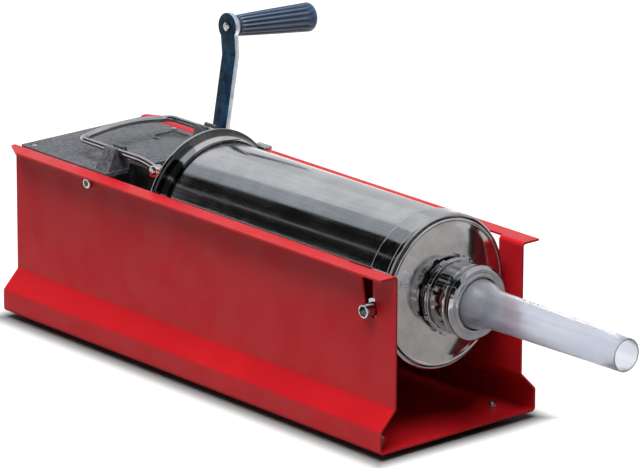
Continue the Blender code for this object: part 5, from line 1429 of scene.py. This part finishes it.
def make_bail(steel):
    """The bent rod with a turned eye at each end."""
    eyes = []
    for side in (-1, 1):
        low, high = sorted(side * (BAIL_HALF_WIDTH + reach * BAIL_EYE_WIDTH / 2) for reach in (-1, 1))
        hole = BAIL_PIN_RADIUS + SEAT
        profile = rounded([(low, hole, 0.0002), (low, BAIL_EYE_RADIUS), (high, BAIL_EYE_RADIUS),
                           (high, hole, 0.0002)], 0.0010, 3)
        eyes.append(lathe(profile, NARROW, "Y", (BAIL_PIVOT_X, BAIL_PIVOT_Z)))
    bm = carved(rod(bail_path(), BAIL_ROD_RADIUS), ("UNION", joined(*eyes)))
    dress("latch_bail", bm, steel, sharp=50)


def make_bail_pins(zinc):
    """Rivets that the eyes turn on."""
    low, high = lug_reach()
    tip = low - BAIL_EYE_WIDTH - 2 * SEAT
    head = 2 * BAIL_PIN_RADIUS
    profile = [(tip, 0), (tip, BAIL_PIN_RADIUS - 0.0003), (tip + 0.0003, BAIL_PIN_RADIUS),
               (high + SEAT, BAIL_PIN_RADIUS), (high + SEAT, head), (high + 0.0012, head),
               (high + 0.0020, 0.85 * head), (high + 0.0025, 0.5 * head), (high + 0.0026, 0)]
    dress_each("bail_pin", lathe(profile, NARROW, "Y", (0, 0)), zinc, side_spots(BAIL_PIVOT_X, BAIL_PIVOT_Z))


# Crank

def at_rest_angle(bm):
    """Turn a piece modelled with the crank upright to where the crank rests."""
    pivot = Vector((CRANK_X, 0.0, CRANK_Z))
    bmesh.ops.rotate(bm, verts=bm.verts, cent=pivot, matrix=Matrix.Rotation(CRANK_REST, 3, "Y"))
    return bm


def heading_at(along):
    """The arm's lean where it is this far from the hub: two short bends between straight runs."""
    creases = (ARM_FOOT_LENGTH, ARM_FOOT_LENGTH + ARM_SLANT_LENGTH)
    headings = (0.0, ARM_SLANT, ARM_LEAN)
    reach = 0.0014
    lean = headings[0]
    for crease, (before, after) in zip(creases, zip(headings, headings[1:])):
        share = min(1.0, max(0.0, (along - crease + reach) / (2 * reach)))
        lean += (after - before) * share * share * (3 - 2 * share)
    return lean


def arm_line():
    """The arm's outer-face line as a list of (along, y, z), walked in small steps."""
    step = 0.0002
    along = 0.0
    y = CRANK_FACE_Y
    z = CRANK_Z
    line = [(along, y, z)]
    while along < ARM_LENGTH + ARM_BOSS_RADIUS + step:
        lean = heading_at(along + step / 2)
        y += step * math.sin(lean)
        z += step * math.cos(lean)
        along += step
        line.append((along, y, z))
    return line


ARM_LINE = arm_line()


def bent(across, along, depth):
    """Where a point of the flat arm lies after both bends; depth runs through the thickness."""
    if along <= 0:
        return Vector((CRANK_X + across, CRANK_FACE_Y + depth, CRANK_Z + along))
    step = ARM_LINE[1][0]
    i = min(int(along / step), len(ARM_LINE) - 2)
    share = along / step - i
    y = ARM_LINE[i][1] + (ARM_LINE[i + 1][1] - ARM_LINE[i][1]) * share
    z = ARM_LINE[i][2] + (ARM_LINE[i + 1][2] - ARM_LINE[i][2]) * share
    lean = heading_at(along)
    return Vector((CRANK_X + across, y + depth * math.cos(lean), z - depth * math.sin(lean)))


def make_crank_arm(blued, bare):
    """A flat forged bar between a round hub and a round boss, bevelled, then bent."""
    spread = math.degrees(math.acos(ARM_HALF_WIDTH / CRANK_HUB_RADIUS))
    top_spread = math.degrees(math.acos(ARM_HALF_WIDTH / ARM_BOSS_RADIUS))
    outline = arc((0.0, 0.0), CRANK_HUB_RADIUS, 180 - spread, 360 + spread, 40)
    outline += arc((0.0, ARM_LENGTH), ARM_BOSS_RADIUS, -top_spread, 180 + top_spread, 48)
    outline = [(x, y, 0.006 if abs(abs(x) - ARM_HALF_WIDTH) < 1e-4 else 0) for x, y in outline]
    outline = rounded(outline, 0.0, 5)
    hole = circle((0.0, ARM_LENGTH), GRIP_BOLT_RADIUS + SEAT, NARROW)
    bm = plate(outline, "Z", 0.0, ARM_THICKNESS, [hole])
    sharp = [e for e in bm.edges if len(e.link_faces) == 2 and e.calc_face_angle(0) > 1.0]
    bmesh.ops.bevel(bm, geom=sharp, offset=0.0007, segments=3, profile=0.5, affect="EDGES")
    cut = 0.004
    while cut < ARM_LENGTH - 0.006:
        geometry = bm.verts[:] + bm.edges[:] + bm.faces[:]
        bmesh.ops.bisect_plane(bm, geom=geometry, dist=1e-7, plane_co=(0.0, cut, 0.0), plane_no=(0, 1, 0))
        cut += 0.0012
    for face in bm.faces:
        centre = face.calc_center_median()
        inside = (Vector((centre.x, centre.y)) - Vector((0.0, ARM_LENGTH))).length < GRIP_BOLT_RADIUS + 0.001
        if abs(face.normal.z) < 0.5 and not inside:
            face.material_index = 1
    for vert in bm.verts:
        vert.co = bent(vert.co.x, vert.co.y, vert.co.z)
    bmesh.ops.recalc_face_normals(bm, faces=bm.faces)
    hub_low = CRANK_FACE_Y - CRANK_HUB_LENGTH
    hub_high = CRANK_FACE_Y + ARM_THICKNESS / 2
    hub_radius = CRANK_HUB_RADIUS - 0.0008
    profile = [(hub_low, 0), (hub_low, CRANK_HUB_RADIUS - 0.0016), (hub_low + 0.0008, hub_radius),
               (hub_high, hub_radius), (hub_high, 0)]
    hub = lathe(profile, MIDDLE, "Y", (CRANK_X, CRANK_Z))
    half = CRANK_SQUARE + SEAT
    corners = [(CRANK_X - half, CRANK_Z - half), (CRANK_X + half, CRANK_Z - half),
               (CRANK_X + half, CRANK_Z + half), (CRANK_X - half, CRANK_Z + half)]
    eye = plate(corners, "Y", hub_low - SHEET, CRANK_FACE_Y + ARM_THICKNESS + SHEET)
    bm = carved(bm, ("UNION", hub), ("DIFFERENCE", eye))
    piece = dress("crank_arm", at_rest_angle(bm), blued, sharp=35)
    piece.data.materials.append(bare)


def make_crank_screw(zinc):
    """Hexagon screw and washer that hold the crank on its square."""
    seat = CRANK_FACE_Y + ARM_THICKNESS + SEAT
    washer = seat + WASHER
    tip = seat - CRANK_SCREW_LENGTH
    wide = 0.8 * CRANK_HUB_RADIUS
    centre = (CRANK_X, CRANK_Z)
    profile = [(tip, 0), (tip, CRANK_SCREW_RADIUS), (seat, CRANK_SCREW_RADIUS),
               (seat, wide - 0.0003), (seat + 0.0003, wide), (washer - 0.0003, wide), (washer, wide - 0.0003),
               (washer, 0)]
    head = rounded(hexagon(centre, CRANK_SCREW_FLATS, 12.0), 0.0003, 1)
    bolt = plate(head, "Y", washer - HAIR, washer + CRANK_SCREW_HEAD)
    sharp = [e for e in bolt.edges if e.calc_face_angle(0) > 1.2]
    bmesh.ops.bevel(bolt, geom=sharp, offset=0.0004, segments=2, profile=0.5, affect="EDGES")
    bm = carved(lathe(profile, MIDDLE, "Y", centre), ("UNION", bolt))
    dress("crank_screw", at_rest_angle(bm), zinc, sharp=30)


def make_grip(plastic, zinc):
    """Fluted grip that swells to its end, and the bolt that it turns on."""
    pivot = bent(0.0, ARM_LENGTH, ARM_THICKNESS)
    centre = (pivot.x, pivot.z)
    start = pivot.y + 2 * SEAT
    end = start + GRIP_LENGTH - SEAT
    hole = GRIP_BOLT_RADIUS + SEAT
    collar = GRIP_COLLAR
    root = GRIP_ROOT_RADIUS
    profile = [(start + GRIP_HOLE + 0.0020, 0), (start + GRIP_HOLE, hole), (start, hole),
               (start, root - 0.0018), (start + 0.0004, root - 0.0012),
               (start + collar - 0.0012, root - 0.0008),
               (start + collar - 0.0006, root - 0.0012), (start + collar, root - 0.0006)]
    for share in shares(28, 1):
        swell = root + (GRIP_END_RADIUS - root) * share ** 0.8
        profile.append((start + collar + (GRIP_LENGTH - GRIP_DOME - collar) * share, swell))
    for degrees in (12, 25, 40, 55, 70, 80):
        a = math.radians(degrees)
        profile.append((end - GRIP_DOME + GRIP_DOME * math.sin(a), GRIP_END_RADIUS * math.cos(a) ** 0.5))
    profile.append((end, 0))

    def fluted(along, radius, angle):
        """Flutes between raised lands, running out at both ends."""
        if radius < 0.9 * root:
            return radius
        fade = min(1.0, max(0.0, (along - start - 0.004) / 0.006), max(0.0, (end - 0.007 - along) / 0.006))
        groove = 0.5 - 0.5 * math.cos(GRIP_FLUTES * angle)
        return radius - 1.9 * GRIP_FLUTE_DEPTH * fade * groove ** 1.3

    droop = Matrix.Rotation(-ARM_LEAN, 3, "X")

    def settled(bm):
        bmesh.ops.rotate(bm, verts=bm.verts, cent=pivot, matrix=droop)
        return at_rest_angle(bm)

    grip = lathe(profile, GRIP_FLUTES * 12, "Y", centre, fluted)
    dress("crank_grip", settled(grip), plastic, sharp=60)
    head = 1.08 * GRIP_BOLT_RADIUS
    rear = pivot.y - ARM_THICKNESS - SEAT
    tail = start + GRIP_BOLT_TAIL
    profile = [(rear - 0.0018, 0), (rear - 0.0018, 0.45 * head), (rear - 0.0014, 0.75 * head),
               (rear - 0.0007, head), (rear, head), (rear, GRIP_BOLT_RADIUS), (tail, GRIP_BOLT_RADIUS),
               (tail, 0)]
    bm = lathe(profile, NARROW, "Y", centre)
    slit = block((centre[0] - 0.006, centre[0] + 0.006), (rear - 0.0030, rear - 0.0010),
                 (centre[1] - 0.0006, centre[1] + 0.0006))
    dress("grip_bolt", settled(carved(bm, ("DIFFERENCE", slit))), zinc, sharp=50)


# Nodes that keep their own shape

def carry_over(materials):
    """Give each node that still shows its material, and break its edges."""
    widths = {"gearbox_housing": 0.0008, "piston_rack": 0.0003, "rack_guide_front": 0.0004,
              "rack_guide_rear": 0.0004, "piston_nut": 0.0004}
    for name, node in frame["nodes"].items():
        if node.hide_render:
            continue
        node.data.materials.clear()
        node.data.materials.append(materials.get(name, materials[SLOT_OF[name]]))
        weld = node.modifiers.new("Weld", "WELD")
        weld.merge_threshold = 0.00001
        add_bevel(node, widths.get(name, 0.0002), 2, 40)


# Stage, light and camera

FLOOR_SIZE = 8.0
FLOOR_COLOUR = (0.24, 0.24, 0.24)
FLOOR_LIFT = 1.0
# Painted shade round the machine: where the floor's glow fades out, in metres from its box.
FLOOR_PAINTED_SHADE = (-0.004, 0.026)
WHITE = (1.0, 1.0, 1.0, 1.0)
FILL_LEVEL = 0.035
KEY_POWER = 84.0
SIDE_POWER = 5.0
BACK_POWER = 20.0


def stage_floor():
    """A pale floor that glows white away from the machine; close to it the glow fades out, a painted shade
    round the machine in which its shadow shows.
    """
    half = FLOOR_SIZE / 2
    corners = ((-half, -half, 0.0), (half, -half, 0.0), (half, half, 0.0), (-half, half, 0.0))
    floor = flat_face("floor", corners)
    pale = Surface("floor", FLOOR_COLOUR, 0.9, Specular_IOR_Level=0.0, Emission_Color=WHITE)
    apart = pale.add("SeparateXYZ")
    pale.link(pale.coords, apart.inputs[0])
    middle = (TROUGH_BOX[0] + TROUGH_BOX[1]) / 2
    reach = (TROUGH_BOX[1] - TROUGH_BOX[0]) / 2
    clear = None
    for axis in (0, 1):
        off = pale.maths("SUBTRACT", apart.outputs[axis], middle[axis])
        off = pale.maths("SUBTRACT", pale.maths("ABSOLUTE", off, 0.0), reach[axis])
        clear = off if clear is None else pale.maths("MAXIMUM", clear, off)
    # Painted shade: the glow is taken away near the machine's box, so the grey floor shows darker there under
    # any light.
    lift = pale.mapped(clear, *FLOOR_PAINTED_SHADE, 0.0, FLOOR_LIFT)
    pale.link(pale.maths("MULTIPLY", lift, seen_rays(pale.tree)), pale.shader.inputs["Emission Strength"])
    floor.data.materials.append(pale.material)


def seen_rays(tree):
    """One for rays that show the background: straight from the camera, mirrored or let through."""
    path = tree.nodes.new("ShaderNodeLightPath")
    either = math_node(tree, "MAXIMUM", path.outputs["Is Camera Ray"], path.outputs["Is Glossy Ray"])
    return math_node(tree, "MAXIMUM", either, path.outputs["Is Transmission Ray"])


def light_world():
    """A white background to look at, which gives the machine only a little light."""
    world = bpy.data.worlds.new("studio")
    bpy.context.scene.world = world
    world.use_nodes = True
    tree = world.node_tree
    background = tree.nodes["Background"]
    background.inputs["Color"].default_value = WHITE
    level = tree.nodes.new("ShaderNodeMapRange")
    level.inputs["To Min"].default_value = FILL_LEVEL
    level.inputs["To Max"].default_value = 1.0
    tree.links.new(seen_rays(tree), level.inputs["Value"])
    tree.links.new(level.outputs["Result"], background.inputs["Strength"])


def add_lamp(name, location, target, size, power):
    """A rectangular lamp aimed at a point, left out of reflections."""
    data = bpy.data.lights.new(name, "AREA")
    data.shape = "RECTANGLE"
    data.size, data.size_y = size
    data.energy = power
    lamp = placed(name, data)
    lamp.location = location
    lamp.rotation_mode = "QUATERNION"
    lamp.rotation_quaternion = (Vector(location) - Vector(target)).to_track_quat("Z", "Y")
    lamp.visible_glossy = False


def long_card(name, low, high, distance, level, tint=(1.0, 1.0, 1.0), span=(-3.0, 3.0)):
    """A card beside the machine, parallel to the cylinder and curved about it.
    low and high are angles about the cylinder's axis, in degrees up from the near side."""
    steps = max(1, int((high - low) / 6))
    arcs = []
    for k in range(steps + 1):
        a = math.radians(low + (high - low) * k / steps)
        arcs.append((-distance * math.cos(a), AXIS_Z + distance * math.sin(a)))
    for before, after in zip(arcs, arcs[1:]):
        corners = [(span[0], *before), (span[1], *before), (span[1], *after), (span[0], *after)]
        card(name, corners, level, tint)


def card(name, corners, level, tint=(1.0, 1.0, 1.0)):
    """A flat card of one tone that shows only in polished surfaces."""
    piece = flat_face(name, corners)
    piece.location = ORIGIN
    tone = Surface(name, (0.0, 0.0, 0.0), 0.5, Specular_IOR_Level=0.0, Emission_Color=(*tint, 1.0),
                   Emission_Strength=level)
    piece.data.materials.append(tone.material)
    for way in ("camera", "diffuse", "transmission", "volume_scatter", "shadow"):
        setattr(piece, f"visible_{way}", False)


def light_stage():
    """Three lamps, then cards for the pale and dark parts of a room that polished steel shows, and a painted
    reflection of the far wall.
    """
    light_world()
    centre = ORIGIN + Vector((-0.2, 0.0, 0.1))
    add_lamp("key", centre + Vector((0.35, -0.7, 2.2)), centre, (1.8, 1.8), KEY_POWER)
    add_lamp("side", centre + Vector((-0.2, -2.4, 0.35)), centre, (2.6, 0.7), SIDE_POWER)
    add_lamp("back", centre + Vector((-1.1, 2.2, 0.45)), centre, (2.6, 0.7), BACK_POWER)
    long_card("near_flag", 14.0, 72.0, 1.6, 0.012)
    long_card("near_strip", 45.2, 48.0, 1.5, 0.24)
    long_card("low_strip", 20.0, 24.0, 1.5, 1.0)
    long_card("top_shade", 72.0, 96.0, 1.6, 0.56, (0.88, 0.95, 1.0))
    long_card("top_light", 96.0, 138.0, 1.6, 0.95, (0.98, 0.99, 1.0))
    long_card("far_light", 138.0, 190.0, 1.6, 0.80, (0.97, 0.98, 1.0))
    warm = (1.0, 0.97, 0.96)
    low = 0.0015
    card("floor_shade", [(0.01, -0.5, low), (1.4, -0.5, low), (1.4, 1.4, low), (0.01, 1.4, low)], 0.48, warm)
    card("front_shade", [(1.4, -1.0, 0.0), (1.4, 1.8, 0.0), (1.4, 1.8, 1.0), (1.4, -1.0, 1.0)], 0.56, warm)
    # Painted reflection: a faint red card in line with the far wall, past the trough's front, and a
    # near-black strip round it, both seen only in polished surfaces such as the cap.
    wall = WALL_INNER + SHEET / 2
    card("far_wall_painted_reflection", [(0.001, wall, 0.010), (0.028, wall, 0.010), (0.027, wall, 0.150), (0.013, wall, 0.186),
                       (0.001, wall, 0.194)], 0.10, (1.0, 0.06, 0.08))
    card("far_wall_edge_painted_dark", [(0.028, wall, 0.010), (0.038, wall, 0.010), (0.037, wall, 0.154), (0.022, wall, 0.192),
                       (0.001, wall, 0.202), (0.001, wall, 0.194), (0.013, wall, 0.186),
                       (0.027, wall, 0.150)], 0.01)


# Photograph's camera, in the machine's axes, fitted to the object's edges
CAMERA_PLACE = Vector((3.32170, -3.07367, 1.60853))
CAMERA_YAW = -0.85215
CAMERA_PITCH = -0.30276
CAMERA_ROLL = 0.00444
CAMERA_LENS = 296.96


def add_camera():
    """The photograph's camera, aimed by its own yaw, pitch and roll."""
    data = bpy.data.cameras.new("camera")
    data.lens = CAMERA_LENS
    data.sensor_width = 36.0
    data.clip_start = 0.05
    data.clip_end = 50.0
    camera = placed("camera", data)
    forward = Vector((math.sin(CAMERA_YAW) * math.cos(CAMERA_PITCH),
                      math.cos(CAMERA_YAW) * math.cos(CAMERA_PITCH), math.sin(CAMERA_PITCH)))
    level = Vector((math.cos(CAMERA_YAW), -math.sin(CAMERA_YAW), 0.0))
    upright = level.cross(forward)
    right = level * math.cos(CAMERA_ROLL) + upright * math.sin(CAMERA_ROLL)
    up = upright * math.cos(CAMERA_ROLL) - level * math.sin(CAMERA_ROLL)
    turn = Matrix((right, up, -forward)).transposed()
    camera.matrix_world = Matrix.Translation(ORIGIN + CAMERA_PLACE) @ turn.to_4x4()
    bpy.context.scene.camera = camera


def build():
    """Every dressed piece, then the rest of the model in the same materials."""
    red = red_enamel()
    cast = hammered_grey()
    tube_steel = polished_steel()
    chrome_in_painted_shade = painted_shade_chrome()
    zinc = zinc_plate()
    bronze = sintered_bronze()
    rubber = black_rubber()
    blued = blued_steel()
    slate = slate_plastic()
    milky = milky_plastic()
    white = white_plastic()
    silicone = pale_silicone()
    make_trough(red)
    make_feet(rubber, zinc)
    make_lid(cast, zinc)
    make_housing_screws(zinc)
    make_crank_bush(bronze)
    make_tube(tube_steel)
    make_rear_ring(ring_plate_painted_light())
    make_front_band(chrome_in_painted_shade, rubber)
    make_trunnion_pins(chrome_in_painted_shade)
    make_small_trim(chrome_in_painted_shade, zinc)
    make_end_cap(spun_steel())
    make_gasket(silicone)
    make_nozzle(milky)
    make_ring_nut(chrome_in_painted_shade)
    make_piston(white, silicone)
    make_bail(chrome_in_painted_shade)
    make_bail_pins(zinc)
    make_crank_arm(blued, bare_edge())
    make_crank_screw(zinc)
    make_grip(slate, zinc)
    carry_over({"gearbox_housing": casting_black_and_painted_shade(), "red_enamel": red, "hammered_grey": cast,
                "stainless": tube_steel, "chrome": bright_plate(), "zinc_plate": zinc,
                "gear_steel": oiled_steel(), "bronze": bronze, "black_rubber": rubber,
                "blued_steel": blued, "slate_plastic": slate, "milky_plastic": milky,
                "white_plastic": white, "silicone": silicone})


bpy.context.scene.view_settings.view_transform = "Standard"
build()
stage_floor()
light_stage()
add_camera()
